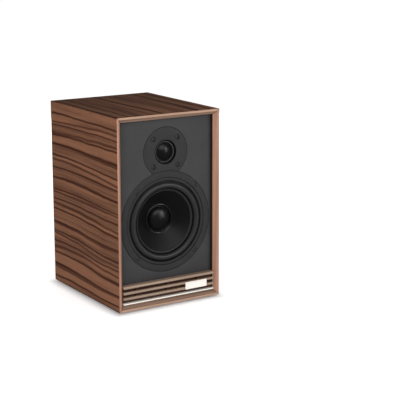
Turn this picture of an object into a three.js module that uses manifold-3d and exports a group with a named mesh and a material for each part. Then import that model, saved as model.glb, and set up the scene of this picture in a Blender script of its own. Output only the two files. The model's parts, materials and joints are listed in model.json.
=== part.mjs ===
// A two-way bookshelf speaker: a mitred wooden cabinet with a bevelled front rim, a recessed
// baffle, a slatted foot rail, a 150 mm class woofer, a 25 mm dome tweeter, a rear bass port,
// a terminal cup with two screw-down binding posts, and the crossover and wires inside.
// Millimetres, +Z up. The front faces -Y, and the origin is under the middle of the cabinet
// on the surface that the feet stand on.

import * as THREE from 'three';
import { mergeVertices } from 'three/addons/utils/BufferGeometryUtils.js';
import Module from 'manifold-3d';

const wasm = await Module();
wasm.setup();

// ---------------------------------------------------------------- driving dimensions

const FOOT = { height: 3, radius: 9, insetX: 20, insetY: 20 };
const CABINET = { width: 180, depth: 216, height: 297, wall: 15, mitreGap: 0.15 };
const RIM = { lip: 3.8, inner: 8.5, bevelDepth: 6 };
const BAFFLE = { recess: 12, thickness: 18, gap: 0.15 };
const REAR = { recess: 4, thickness: 15, gap: 0.15 };

const TOUCH_GAP = 0.3;            // between a piece and the one it rests on or screws into
const FINE_GAP = 0.2;             // the same, inside the drivers
const VISIBLE_SIDES = 32;         // sides of the round pieces that show
const HIDDEN_SIDES = 18;          // sides of the round pieces inside
const SCREW_SIDES = 8;
const CURVE_STEPS = 4;            // straight steps in a curved stretch of a profile

const WOOFER = { z: 131.5, flangeRadius: 78.5, screwCircle: 72.5, cutoutRadius: 62.5 };
const TWEETER = { z: 239.5, flangeRadius: 38.5, screwCircle: 30, cutoutRadius: 26.5 };
const FLANGE = { proud: 0.5, thickness: 4.7, rebateDepth: 5, rebateGap: 0.5 };

const SLATS = { halfLength: 81.2, frontInset: 1.25, depth: 5, carrierThickness: 3 };
const SLAT_HEIGHTS = {            // lowest and highest z of each bar of the foot rail
  accent: [13.1, 16.1],
  lower: [20.8, 24.4],
  upper: [29.3, 32.9],
  rail: [38.0, 41.9],
};
const BADGE = { left: 28, right: 67, bottom: 20.8, top: 32.3, thickness: 1.2 };

const PORT = { z: 226, boreRadius: 22.5, wall: 2.2, neckRadius: 32, flangeRadius: 37, innerEndY: 0 };
const CUP = { z: 76, flangeX: 50, flangeZ: 38, cavityX: 36, cavityZ: 24, wall: 2.2, floorY: 80.2 };
const POST = { spacing: 28, radius: 3, knobRadius: 8.2, knobLength: 17, collarRadius: 7.5 };

const BOARD = { halfX: 50, frontY: -55, rearY: 45, bottomZ: 26, thickness: 1.6 };

// Planes that follow from those sizes.
const cabinetBottom = FOOT.height;
const cabinetTop = FOOT.height + CABINET.height;
const cabinetMiddle = (cabinetBottom + cabinetTop) / 2;
const frontY = -CABINET.depth / 2;
const rearY = CABINET.depth / 2;
const baffleFront = frontY + BAFFLE.recess;
const baffleBack = baffleFront + BAFFLE.thickness;
const rearPanelBack = rearY - REAR.recess;
const rearPanelFront = rearPanelBack - REAR.thickness;
const innerX = CABINET.width / 2 - CABINET.wall;
const innerBottom = cabinetBottom + CABINET.wall;
const innerTop = cabinetTop - CABINET.wall;
const boardTop = BOARD.bottomZ + BOARD.thickness;

// ---------------------------------------------------------------- materials

const FINISHES = {
  veneer: { color: 0x73523f, roughness: 0.5, metalness: 0 },
  railWood: { color: 0xa07864, roughness: 0.5, metalness: 0 },
  baffle: { color: 0x3c3c3e, roughness: 0.6, metalness: 0 },
  blackPaint: { color: 0x1a1817, roughness: 0.7, metalness: 0 },
  backPaint: { color: 0x222222, roughness: 0.7, metalness: 0 },
  silver: { color: 0xe8e2d8, roughness: 0.35, metalness: 0.9 },
  basket: { color: 0x333336, roughness: 0.55, metalness: 0.2 },
  satinPlastic: { color: 0x2e2e30, roughness: 0.5, metalness: 0 },
  glossPlastic: { color: 0x101012, roughness: 0.2, metalness: 0 },
  rubber: { color: 0x242425, roughness: 0.6, metalness: 0 },
  foam: { color: 0x161616, roughness: 0.95, metalness: 0 },
  cone: { color: 0x202022, roughness: 0.45, metalness: 0 },
  dome: { color: 0x18181a, roughness: 0.35, metalness: 0 },
  spider: { color: 0xb08a3c, roughness: 0.9, metalness: 0 },
  former: { color: 0xc8903c, roughness: 0.5, metalness: 0 },
  copper: { color: 0xb5653a, roughness: 0.35, metalness: 1 },
  zinc: { color: 0xb8bcc0, roughness: 0.35, metalness: 1 },
  blackSteel: { color: 0x1c1c1e, roughness: 0.4, metalness: 0.8 },
  ferrite: { color: 0x2b2b2d, roughness: 0.8, metalness: 0.1 },
  gold: { color: 0xd9b45a, roughness: 0.25, metalness: 1 },
  redPlastic: { color: 0xa01818, roughness: 0.3, metalness: 0 },
  blackPlastic: { color: 0x141414, roughness: 0.3, metalness: 0 },
  board: { color: 0x2f6b45, roughness: 0.5, metalness: 0 },
  capacitor: { color: 0xc9a227, roughness: 0.4, metalness: 0 },
  ceramic: { color: 0xdcd8cf, roughness: 0.8, metalness: 0 },
  cable: { color: 0x8a2f2a, roughness: 0.5, metalness: 0 },
  wadding: { color: 0xd9d9d4, roughness: 1, metalness: 0 },
};

const speaker = new THREE.Group();

function addPiece(name, geometry, finish) {
  const mesh = new THREE.Mesh(closed(geometry), new THREE.MeshStandardMaterial(FINISHES[finish]));
  mesh.name = name;
  speaker.add(mesh);
}

// ---------------------------------------------------------------- shape helpers

function signedVolume(positions, corners) {
  const a = new THREE.Vector3();
  const b = new THREE.Vector3();
  const c = new THREE.Vector3();
  let volume = 0;
  for (let i = 0; i < corners.length; i += 3) {
    a.fromBufferAttribute(positions, corners[i]);
    b.fromBufferAttribute(positions, corners[i + 1]);
    c.fromBufferAttribute(positions, corners[i + 2]);
    volume += a.dot(b.cross(c)) / 6;
  }
  return volume;
}

// One closed body with shared vertices and its faces pointing out.
function closed(geometry) {
  const bare = new THREE.BufferGeometry();
  bare.setAttribute('position', geometry.getAttribute('position').clone());
  if (geometry.index) bare.setIndex(geometry.index.clone());
  const merged = mergeVertices(bare, 1e-3);
  const corners = [];
  for (let i = 0; i < merged.index.count; i += 3) {
    const triangle = [0, 1, 2].map((step) => merged.index.getX(i + step));
    if (new Set(triangle).size === 3) corners.push(...triangle);
  }
  if (signedVolume(merged.getAttribute('position'), corners) < 0) corners.reverse();
  merged.setIndex(corners);
  merged.computeVertexNormals();
  return merged;
}

function toManifold(geometry) {
  const body = closed(geometry);
  return new wasm.Manifold(new wasm.Mesh({
    numProp: 3,
    vertProperties: new Float32Array(body.getAttribute('position').array),
    triVerts: new Uint32Array(body.index.array),
  }));
}

function fromManifold(solid) {
  const mesh = solid.getMesh();
  const geometry = new THREE.BufferGeometry();
  geometry.setAttribute('position', new THREE.BufferAttribute(mesh.vertProperties, 3));
  geometry.setIndex(new THREE.BufferAttribute(mesh.triVerts, 1));
  return geometry;
}

function cut(geometry, ...tools) {
  const whole = toManifold(geometry);
  return fromManifold(tools.map(toManifold).reduce((solid, tool) => solid.subtract(tool), whole));
}

function join(geometry, ...others) {
  const first = toManifold(geometry);
  return fromManifold(others.map(toManifold).reduce((solid, other) => solid.add(other), first));
}

function box([xMin, xMax], [yMin, yMax], [zMin, zMax]) {
  const geometry = new THREE.BoxGeometry(xMax - xMin, yMax - yMin, zMax - zMin);
  return geometry.translate((xMin + xMax) / 2, (yMin + yMax) / 2, (zMin + zMax) / 2);
}

// A rod along Y, at a place across X and Z.
function rodY(radius, [yMin, yMax], x, z, sides = SCREW_SIDES) {
  const geometry = new THREE.CylinderGeometry(radius, radius, yMax - yMin, sides);
  return geometry.translate(x, (yMin + yMax) / 2, z);
}

// A rod along Z, at a place across X and Y.
function rodZ(radius, [zMin, zMax], x, y, sides = SCREW_SIDES) {
  const geometry = new THREE.CylinderGeometry(radius, radius, zMax - zMin, sides).rotateX(Math.PI / 2);
  return geometry.translate(x, y, (zMin + zMax) / 2);
}

// A profile of [radius, depth] points turned round the line along Y at height z,
// with depth counted backwards from the plane y = startY. It closes on itself
// unless it begins and ends on the axis.
function turned(profile, startY, z, sides = HIDDEN_SIDES) {
  const points = profile.map(([radius, depth]) => new THREE.Vector2(radius, depth));
  if (profile[0][0] > 0) points.push(points[0].clone());
  return new THREE.LatheGeometry(points, sides).translate(0, startY, z);
}

// Points of a half ellipse from one radius to another that rises by `rise` towards the front.
function rollArc(fromRadius, toRadius, depth, rise) {
  const middle = (fromRadius + toRadius) / 2;
  const half = (toRadius - fromRadius) / 2;
  return Array.from({ length: CURVE_STEPS + 1 }, (_, i) => {
    const angle = Math.PI * i / CURVE_STEPS;
    return [middle - half * Math.cos(angle), depth - rise * Math.sin(angle)];
  });
}

// Points of a shallow dome from its middle out to its rim.
function domeArc(rimRadius, rimDepth, rise) {
  const sphereRadius = (rimRadius * rimRadius + rise * rise) / (2 * rise);
  const rimAngle = Math.asin(rimRadius / sphereRadius);
  return Array.from({ length: CURVE_STEPS + 1 }, (_, i) => {
    const angle = rimAngle * i / CURVE_STEPS;
    return [sphereRadius * Math.sin(angle), rimDepth - rise + sphereRadius * (1 - Math.cos(angle))];
  });
}

function fourCorners(halfX, halfZ) {
  return [[-halfX, -halfZ], [halfX, -halfZ], [-halfX, halfZ], [halfX, halfZ]];
}

function outline(points) {
  return new THREE.Shape(points.map(([x, y]) => new THREE.Vector2(x, y)));
}

// A round cable along a smooth route.
function cable(route, radius) {
  const path = new THREE.CatmullRomCurve3(route.map((point) => new THREE.Vector3(...point)));
  const sides = 8;
  const section = outline(Array.from({ length: sides }, (_, i) => {
    const angle = 2 * Math.PI * i / sides;
    return [radius * Math.cos(angle), radius * Math.sin(angle)];
  }));
  return new THREE.ExtrudeGeometry(section, { steps: CURVE_STEPS * (route.length - 1), extrudePath: path });
}

// ---------------------------------------------------------------- cabinet

// Section of every wall, as [distance in from the outer face, y]: the lip, the bevel,
// the rebate that holds the baffle, the full wall, and the rebate for the rear panel.
const WALL_SECTION = [
  [0, frontY],
  [RIM.lip, frontY],
  [RIM.inner, frontY + RIM.bevelDepth],
  [RIM.inner, baffleBack],
  [CABINET.wall, baffleBack],
  [CABINET.wall, rearPanelFront],
  [RIM.inner, rearPanelFront],
  [RIM.inner, rearY],
  [0, rearY],
];

// A wall between two mitred ends. `place` turns [distance in, y, place along] into x, y, z.
function mitredWall(halfLength, place) {
  const geometry = new THREE.ExtrudeGeometry(outline(WALL_SECTION), { depth: 1, bevelEnabled: false });
  const positions = geometry.getAttribute('position');
  for (let i = 0; i < positions.count; i += 1) {
    const inward = positions.getX(i);
    const end = positions.getZ(i) * 2 - 1;
    const along = end * (halfLength - inward - CABINET.mitreGap);
    positions.setXYZ(i, ...place(inward, positions.getY(i), along));
  }
  return geometry;
}

function buildCabinet() {
  const halfWidth = CABINET.width / 2;
  const halfHeight = CABINET.height / 2;
  const sideWall = (side) => mitredWall(
    halfHeight,
    (inward, y, along) => [side * (halfWidth - inward), y, cabinetMiddle + along],
  );
  addPiece('left_side_panel', sideWall(-1), 'veneer');
  addPiece('right_side_panel', sideWall(1), 'veneer');
  const topWall = mitredWall(halfWidth, (inward, y, along) => [along, y, cabinetTop - inward]);
  const bottomWall = mitredWall(halfWidth, (inward, y, along) => [along, y, cabinetBottom + inward]);
  addPiece('top_panel', topWall, 'veneer');
  addPiece('bottom_panel', bottomWall, 'veneer');

  const rearHalfX = halfWidth - RIM.inner - REAR.gap;
  const rearHalfZ = halfHeight - RIM.inner - REAR.gap;
  const rearPanel = box(
    [-rearHalfX, rearHalfX],
    [rearPanelFront, rearPanelBack],
    [cabinetMiddle - rearHalfZ, cabinetMiddle + rearHalfZ],
  );
  addPiece('rear_panel', cut(rearPanel, ...rearPanelHoles()), 'backPaint');
}

function buildFeet() {
  const footX = CABINET.width / 2 - FOOT.insetX;
  const footY = CABINET.depth / 2 - FOOT.insetY;
  for (const [sideName, x] of [['left', -footX], ['right', footX]]) {
    for (const [endName, y] of [['front', -footY], ['rear', footY]]) {
      const pad = rodZ(FOOT.radius, [0, FOOT.height], x, y, HIDDEN_SIDES);
      addPiece(`${endName}_${sideName}_foot`, pad, 'rubber');
    }
  }
}

// ---------------------------------------------------------------- front baffle

const screwHalf = (circle) => circle * Math.SQRT1_2;
const wooferScrewPlaces = fourCorners(screwHalf(WOOFER.screwCircle), screwHalf(WOOFER.screwCircle));
const tweeterScrewPlaces = fourCorners(screwHalf(TWEETER.screwCircle), screwHalf(TWEETER.screwCircle));

const WOOFER_SCREW = { head: 3.6, headTop: -0.1, headBottom: 3.1, shank: 2, tip: 16, pilot: 2.3 };
const TWEETER_SCREW = { head: 3.1, headTop: -0.1, headBottom: 2.7, shank: 1.7, tip: 14, pilot: 2 };

// The socket screws that hold a driver's flange, sunk into it. Depths count from the baffle's front.
function addFlangeScrews(driver, size, places, centreZ) {
  const yRange = (from, to) => [baffleFront + from, baffleFront + to];
  places.forEach(([x, z], i) => {
    const head = rodY(size.head, yRange(size.headTop, size.headBottom), x, centreZ + z);
    const socket = rodY(size.head * 0.55, yRange(size.headTop - 1, size.headTop + 1.6), x, centreZ + z, 6);
    const shank = rodY(size.shank, yRange(size.headBottom - 0.5, size.tip), x, centreZ + z);
    addPiece(`${driver}_screw_${i + 1}`, join(cut(head, socket), shank), 'blackSteel');
  });
}

function pilotHoles(places, size, centreZ) {
  const tip = baffleFront + size.tip + TOUCH_GAP;
  return places.map(([x, z]) => rodY(size.pilot, [baffleFront, tip], x, centreZ + z));
}

// What a flange needs cut away round it: its own rebate, as deep as the flange is thick.
function flangeRebate(driver, grow) {
  const yRange = [baffleFront - 10, baffleFront + FLANGE.rebateDepth];
  return rodY(driver.flangeRadius + grow, yRange, 0, driver.z, VISIBLE_SIDES);
}

function buildBaffle() {
  const halfX = CABINET.width / 2 - RIM.inner - BAFFLE.gap;
  const halfZ = CABINET.height / 2 - RIM.inner - BAFFLE.gap;
  const board = box(
    [-halfX, halfX],
    [baffleFront, baffleBack],
    [cabinetMiddle - halfZ, cabinetMiddle + halfZ],
  );
  const through = [baffleFront - 1, baffleBack + 1];
  addPiece('front_baffle', cut(
    board,
    flangeRebate(WOOFER, FLANGE.rebateGap),
    flangeRebate(TWEETER, FLANGE.rebateGap),
    rodY(WOOFER.cutoutRadius, through, 0, WOOFER.z, VISIBLE_SIDES),
    rodY(TWEETER.cutoutRadius, through, 0, TWEETER.z, HIDDEN_SIDES),
    ...pilotHoles(wooferScrewPlaces, WOOFER_SCREW, WOOFER.z),
    ...pilotHoles(tweeterScrewPlaces, TWEETER_SCREW, TWEETER.z),
  ), 'baffle');
}

// ---------------------------------------------------------------- slatted foot rail

function buildSlats() {
  const across = [-SLATS.halfLength, SLATS.halfLength];
  const slatFront = frontY + SLATS.frontInset;
  const slatBack = slatFront + SLATS.depth;
  const carrierFront = baffleFront - SLATS.carrierThickness;
  const carrierBottom = cabinetBottom + RIM.inner + TOUCH_GAP;
  const plate = box(across, [carrierFront, baffleFront], [carrierBottom, SLAT_HEIGHTS.rail[0]]);
  const ribs = [-55, 0, 55].map((x) => box(
    [x - 2, x + 2],
    [slatBack, carrierFront + 0.5],
    [SLAT_HEIGHTS.lower[0], SLAT_HEIGHTS.rail[0]],
  ));
  addPiece('slat_carrier', join(plate, ...ribs), 'blackPaint');
  addPiece('top_rail', box(across, [slatFront, baffleFront], SLAT_HEIGHTS.rail), 'railWood');
  addPiece('upper_slat', box(across, [slatFront, slatBack], SLAT_HEIGHTS.upper), 'railWood');
  addPiece('lower_slat', box(across, [slatFront, slatBack], SLAT_HEIGHTS.lower), 'railWood');
  addPiece('accent_strip', box(across, [slatFront + 0.75, carrierFront], SLAT_HEIGHTS.accent), 'silver');
  const badgeY = [slatFront - BADGE.thickness, slatFront];
  addPiece('badge_plate', box([BADGE.left, BADGE.right], badgeY, [BADGE.bottom, BADGE.top]), 'silver');
}

// ---------------------------------------------------------------- woofer

// Radii and depths behind the baffle's front of the woofer's moving parts.
const CONE = { edgeRadius: 49.6, edgeDepth: 3.2, neckRadius: 13.3, neckDepth: 27.8, thickness: 1.2 };
const ROLL = { inner: 49.8, outer: 60, depth: 2, rise: 4.6, thickness: 0.8, rimOuter: 66.4 };
const COIL = {
  formerInner: 12.6,
  formerOuter: 13.1,
  windingOuter: 13.8,
  windingLength: 11,
  front: 25,
  rear: 47.5,
};
const CAP = { rimRadius: 22.6, rimDepth: 21.3, rise: 8, thickness: 0.8 };
const MOTOR = { plateFront: 39, plateRear: 44, magnetRear: 58, yokeRear: 63.5 };

const wooferPart = (profile, sides = HIDDEN_SIDES) => turned(profile, baffleFront, WOOFER.z, sides);

function buildBasket() {
  const flangeRear = FLANGE.thickness - FLANGE.proud;
  const shell = wooferPart([
    [WOOFER.flangeRadius, -FLANGE.proud],
    [WOOFER.flangeRadius, flangeRear],
    [61.2, flangeRear],
    [61.2, 8],
    [41.5, 32],
    [40, 38.8],
    [16, 38.8],
    [16, 36.4],
    [33, 36.4],
    [33, 33.2],
    [38.4, 33.2],
    [58.5, 8],
    [59.4, 2.7],
    [66.8, 2.7],
    [66.8, -FLANGE.proud],
  ], VISIBLE_SIDES);
  const windowY = [baffleFront + 10, baffleFront + 30.5];
  const windows = Array.from({ length: 6 }, (_, i) => (
    box([32, 70], windowY, [-17, 17]).rotateY(Math.PI * i / 3).translate(0, 0, WOOFER.z)
  ));
  const counterbores = wooferScrewPlaces.map(([x, z]) => rodY(
    WOOFER_SCREW.head + TOUCH_GAP,
    [baffleFront - 5, baffleFront + WOOFER_SCREW.headBottom],
    x,
    WOOFER.z + z,
  ));
  const screwHoles = wooferScrewPlaces.map(([x, z]) => rodY(
    WOOFER_SCREW.pilot,
    [baffleFront, baffleFront + 8],
    x,
    WOOFER.z + z,
  ));
  addPiece('woofer_basket', cut(shell, ...windows, ...counterbores, ...screwHoles), 'basket');
}

function buildWooferSeals() {
  addPiece('woofer_trim_ring', wooferPart([
    [60.5, 0.6],
    [61, 0.3],
    [66.5, 0.3],
    [66.5, 1.7],
    [60.5, 1.7],
  ], VISIBLE_SIDES), 'satinPlastic');
  const gasket = wooferPart([[63, 4.3], [78.2, 4.3], [78.2, 4.9], [63, 4.9]]);
  const holes = wooferScrewPlaces.map(([x, z]) => rodY(
    WOOFER_SCREW.pilot,
    [baffleFront, baffleFront + 8],
    x,
    WOOFER.z + z,
  ));
  addPiece('woofer_gasket', cut(gasket, ...holes), 'foam');
}

function buildWooferMovingParts() {
  const { edgeRadius, edgeDepth, neckRadius, neckDepth, thickness } = CONE;
  addPiece('woofer_cone', wooferPart([
    [edgeRadius, edgeDepth],
    [neckRadius, neckDepth],
    [neckRadius, neckDepth + thickness],
    [edgeRadius, edgeDepth + thickness],
  ], VISIBLE_SIDES), 'cone');

  const outerDome = domeArc(CAP.rimRadius, CAP.rimDepth, CAP.rise);
  const innerDome = domeArc(CAP.rimRadius - CAP.thickness, CAP.rimDepth, CAP.rise - CAP.thickness);
  addPiece('woofer_dust_cap', wooferPart([...outerDome, ...innerDome.reverse()]), 'cone');

  // The coil's winding stands out of the rear of the former that carries it.
  addPiece('woofer_voice_coil', wooferPart([
    [COIL.formerInner, COIL.front],
    [COIL.formerOuter, COIL.front],
    [COIL.formerOuter, COIL.rear - COIL.windingLength],
    [COIL.windingOuter, COIL.rear - COIL.windingLength],
    [COIL.windingOuter, COIL.rear],
    [COIL.formerInner, COIL.rear],
  ]), 'copper');
}

function buildWooferSuspension() {
  const frontRoll = rollArc(ROLL.inner, ROLL.outer, ROLL.depth, ROLL.rise);
  const backRoll = rollArc(
    ROLL.inner + ROLL.thickness,
    ROLL.outer - ROLL.thickness,
    ROLL.depth,
    ROLL.rise - ROLL.thickness,
  );
  addPiece('woofer_surround', wooferPart([
    [ROLL.inner, ROLL.depth + 0.6],
    ...frontRoll,
    [ROLL.rimOuter, ROLL.depth],
    [ROLL.rimOuter, ROLL.depth + 0.5],
    [ROLL.outer - ROLL.thickness, ROLL.depth + 0.5],
    ...backRoll.reverse(),
    [ROLL.inner + ROLL.thickness, ROLL.depth + 0.6],
  ], VISIBLE_SIDES), 'rubber');

  // The spider is a disc of ripples between the coil former and the basket's ledge.
  const spider = { inner: 13.3, outer: 38, depth: 32.3, height: 0.9, thickness: 0.6, ripples: 3 };
  const steps = spider.ripples * 2;
  const ripple = (offset) => Array.from({ length: steps + 1 }, (_, i) => [
    spider.inner + (spider.outer - spider.inner) * i / steps,
    spider.depth + offset + (i % 2 === 0 ? 0 : -spider.height),
  ]);
  addPiece('woofer_spider', wooferPart([...ripple(0), ...ripple(spider.thickness).reverse()]), 'spider');
}

function buildWooferMotor() {
  const { plateFront, plateRear, magnetRear, yokeRear } = MOTOR;
  addPiece('woofer_top_plate', wooferPart([
    [14.3, plateFront],
    [36, plateFront],
    [36, plateRear],
    [14.3, plateRear],
  ]), 'zinc');
  addPiece('woofer_magnet', wooferPart([
    [22, plateRear + FINE_GAP],
    [41, plateRear + FINE_GAP],
    [41, magnetRear],
    [22, magnetRear],
  ]), 'ferrite');
  addPiece('woofer_yoke', wooferPart([
    [4.5, plateFront - 0.5],
    [12.1, plateFront - 0.5],
    [12.1, magnetRear + FINE_GAP],
    [36.5, magnetRear + FINE_GAP],
    [36.5, yokeRear],
    [4.5, yokeRear],
  ]), 'zinc');

  const tagY = [baffleFront + 34.6, baffleFront + 35.4];
  const strip = box([-9, 9], [baffleFront + 34, baffleFront + 36], [WOOFER.z - 52, WOOFER.z - 42]);
  const tags = [-5, 5].map((x) => box([x - 1.4, x + 1.4], tagY, [WOOFER.z - 60, WOOFER.z - 51]));
  addPiece('woofer_terminal_strip', join(strip, ...tags), 'former');
  addFlangeScrews('woofer', WOOFER_SCREW, wooferScrewPlaces, WOOFER.z);
}

// ---------------------------------------------------------------- tweeter

const tweeterPart = (profile, sides = HIDDEN_SIDES) => turned(profile, baffleFront, TWEETER.z, sides);

function tweeterScrewHoles(radius, depth) {
  return tweeterScrewPlaces.map(([x, z]) => rodY(
    radius,
    [baffleFront - 5, baffleFront + depth],
    x,
    TWEETER.z + z,
  ));
}

function buildTweeterFront() {
  const flangeRear = FLANGE.thickness - FLANGE.proud;
  const plate = tweeterPart([
    [15.2, 2.2],
    [16, 2.2],
    [16.2, 3],
    [18.5, 3],
    [19, -FLANGE.proud],
    [TWEETER.flangeRadius, -FLANGE.proud],
    [TWEETER.flangeRadius, flangeRear],
    [15.2, flangeRear],
  ], VISIBLE_SIDES);
  addPiece('tweeter_faceplate', cut(
    plate,
    flangeRebate(WOOFER, FLANGE.rebateGap),
    ...tweeterScrewHoles(TWEETER_SCREW.head + TOUCH_GAP, TWEETER_SCREW.headBottom),
    ...tweeterScrewHoles(TWEETER_SCREW.pilot, 8),
  ), 'satinPlastic');
  addFlangeScrews('tweeter', TWEETER_SCREW, tweeterScrewPlaces, TWEETER.z);
}

function buildTweeterMovingParts() {
  const outerDome = domeArc(12.4, 3.2, 4.2);
  const innerDome = domeArc(11.9, 3.2, 3.7);
  addPiece('tweeter_dome', tweeterPart([...outerDome, ...innerDome.reverse()]), 'dome');
  addPiece('tweeter_voice_coil', tweeterPart([
    [11.9, 3.4],
    [12.3, 3.4],
    [12.3, 5.2],
    [12.8, 5.2],
    [12.8, 9],
    [11.9, 9],
  ]), 'copper');
  addPiece('tweeter_surround', tweeterPart([
    ...rollArc(12.6, 14.9, 3.2, 1),
    [14.9, 4.4],
    [18, 4.4],
    [18, 4.7],
    [14.5, 4.7],
    [14.5, 3.6],
    [12.6, 3.6],
  ]), 'rubber');
}

function buildTweeterMotor() {
  addPiece('tweeter_top_plate', tweeterPart([[13.3, 4.9], [24, 4.9], [24, 7.4], [13.3, 7.4]]), 'zinc');
  addPiece('tweeter_magnet', tweeterPart([[15.5, 7.6], [23, 7.6], [23, 14], [15.5, 14]]), 'ferrite');
  addPiece('tweeter_yoke', tweeterPart([
    [3.5, 4.2],
    [11.3, 4.2],
    [11.3, 14.2],
    [24, 14.2],
    [24, 17.2],
    [3.5, 17.2],
  ]), 'zinc');

  // The chamber behind the motor carries the two tags that the cable is soldered to.
  const chamber = tweeterPart([[0, 33], [22, 33], [22, 17.4], [20.5, 17.4], [20.5, 31.5], [0, 31.5]]);
  const block = box([-8, 8], [baffleFront + 32.5, baffleFront + 36], [TWEETER.z - 3, TWEETER.z + 3]);
  const tagZ = [TWEETER.z - 0.4, TWEETER.z + 0.4];
  const tags = [-5, 5].map((x) => box([x - 1.4, x + 1.4], [baffleFront + 35, baffleFront + 43], tagZ));
  addPiece('tweeter_rear_chamber', join(chamber, block, ...tags), 'blackPlastic');
}

// ---------------------------------------------------------------- rear: port and terminals

const cupScrewPlaces = fourCorners(CUP.flangeX - 6, CUP.flangeZ - 6);
const CUP_SCREW = { hole: 2, tipY: 91 };

function cupScrewHoles(yRange) {
  return cupScrewPlaces.map(([x, z]) => rodY(CUP_SCREW.hole, yRange, x, CUP.z + z));
}

function rearPanelHoles() {
  const through = [rearPanelFront - 1, rearPanelBack + 1];
  const cupHalfX = CUP.cavityX + CUP.wall + TOUCH_GAP;
  const cupHalfZ = CUP.cavityZ + CUP.wall + TOUCH_GAP;
  return [
    rodY(PORT.neckRadius + TOUCH_GAP, through, 0, PORT.z, VISIBLE_SIDES),
    box([-cupHalfX, cupHalfX], through, [CUP.z - cupHalfZ, CUP.z + cupHalfZ]),
    ...cupScrewHoles([CUP_SCREW.tipY, rearPanelBack + 1]),
  ];
}

function buildPort() {
  const { boreRadius, wall, neckRadius, flangeRadius, innerEndY } = PORT;
  const flareDepth = 12;
  const flareWidth = 8;
  const flangeBack = rearPanelBack + 2.4;
  const flare = Array.from({ length: CURVE_STEPS + 1 }, (_, i) => {
    const angle = Math.PI / 2 * i / CURVE_STEPS;
    return [
      boreRadius + flareWidth * (1 - Math.cos(angle)),
      flangeBack - flareDepth * (1 - Math.sin(angle)),
    ];
  });
  addPiece('port_tube', turned([
    [boreRadius, innerEndY],
    ...flare,
    [flangeRadius - 0.8, flangeBack],
    [flangeRadius, flangeBack - 0.8],
    [flangeRadius, rearPanelBack],
    [neckRadius, rearPanelBack],
    [neckRadius, rearPanelBack - flareDepth],
    [boreRadius + wall, rearPanelBack - flareDepth - 8],
    [boreRadius + wall, innerEndY],
  ], 0, PORT.z, VISIBLE_SIDES), 'blackPlastic');
}

function roundedRectangle(halfX, halfY, radius) {
  const shape = new THREE.Shape();
  shape.moveTo(-halfX + radius, -halfY);
  shape.absarc(halfX - radius, -halfY + radius, radius, -Math.PI / 2, 0);
  shape.absarc(halfX - radius, halfY - radius, radius, 0, Math.PI / 2);
  shape.absarc(-halfX + radius, halfY - radius, radius, Math.PI / 2, Math.PI);
  shape.absarc(-halfX + radius, -halfY + radius, radius, Math.PI, Math.PI * 1.5);
  return shape;
}

function buildTerminalCup() {
  const flangeBack = rearPanelBack + 2.2;
  const flange = new THREE.ExtrudeGeometry(
    roundedRectangle(CUP.flangeX, CUP.flangeZ, 6),
    { depth: 2.2, bevelEnabled: false, curveSegments: 4 },
  ).rotateX(Math.PI / 2).translate(0, flangeBack, CUP.z);
  const bodyX = CUP.cavityX + CUP.wall;
  const bodyZ = CUP.cavityZ + CUP.wall;
  const body = box(
    [-bodyX, bodyX],
    [CUP.floorY - CUP.wall, rearPanelBack + 0.5],
    [CUP.z - bodyZ, CUP.z + bodyZ],
  );
  const cavity = box(
    [-CUP.cavityX, CUP.cavityX],
    [CUP.floorY, flangeBack + 1],
    [CUP.z - CUP.cavityZ, CUP.z + CUP.cavityZ],
  );
  const postHoles = [-1, 1].map((side) => rodY(
    POST.radius + TOUCH_GAP,
    [CUP.floorY - 5, CUP.floorY + 1],
    side * POST.spacing / 2,
    CUP.z,
    HIDDEN_SIDES,
  ));
  const screwHoles = cupScrewHoles([rearPanelBack - 1, flangeBack + 1]);
  addPiece('terminal_cup', cut(join(flange, body), cavity, ...postHoles, ...screwHoles), 'blackPlastic');
}

function buildBindingPosts() {
  const seatY = CUP.floorY + FINE_GAP;
  const hexTop = seatY + 2;
  const collarY = [hexTop + TOUCH_GAP, hexTop + TOUCH_GAP + 2];
  const knobStart = collarY[1] + TOUCH_GAP;
  const knobEnd = knobStart + POST.knobLength;
  const postEnd = knobEnd - 3;
  const innerEnd = CUP.floorY - 18;
  const nutY = [CUP.floorY - CUP.wall - 4.2, CUP.floorY - CUP.wall - FINE_GAP];
  const boreRadius = POST.radius + TOUCH_GAP;
  for (const [colour, side] of [['red', 1], ['black', -1]]) {
    // The post, the hexagon that seats on the cup's floor and the nut that holds it from inside.
    const x = side * POST.spacing / 2;
    const rod = rodY(POST.radius, [innerEnd, postEnd], x, CUP.z, HIDDEN_SIDES);
    const hex = rodY(6.5, [seatY, hexTop], x, CUP.z, 6);
    const nut = rodY(5.8, nutY, x, CUP.z, 6);
    const socket = rodY(2.1, [postEnd - 12, postEnd + 1], x, CUP.z);
    addPiece(`${colour}_post`, cut(join(rod, hex, nut), socket), 'gold');
    addPiece(`${colour}_collar`, turned([
      [boreRadius, collarY[0]],
      [POST.collarRadius, collarY[0]],
      [POST.collarRadius, collarY[1]],
      [boreRadius, collarY[1]],
    ], 0, CUP.z).translate(x, 0, 0), 'gold');
    addPiece(`${colour}_knob`, turned([
      [boreRadius, knobStart],
      [POST.knobRadius - 0.8, knobStart],
      [POST.knobRadius, knobStart + 0.8],
      [POST.knobRadius, knobEnd - 1.2],
      [POST.knobRadius - 1.2, knobEnd],
      [boreRadius, knobEnd],
    ], 0, CUP.z).translate(x, 0, 0), `${colour}Plastic`);
  }
}

// ---------------------------------------------------------------- crossover and wiring

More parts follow.
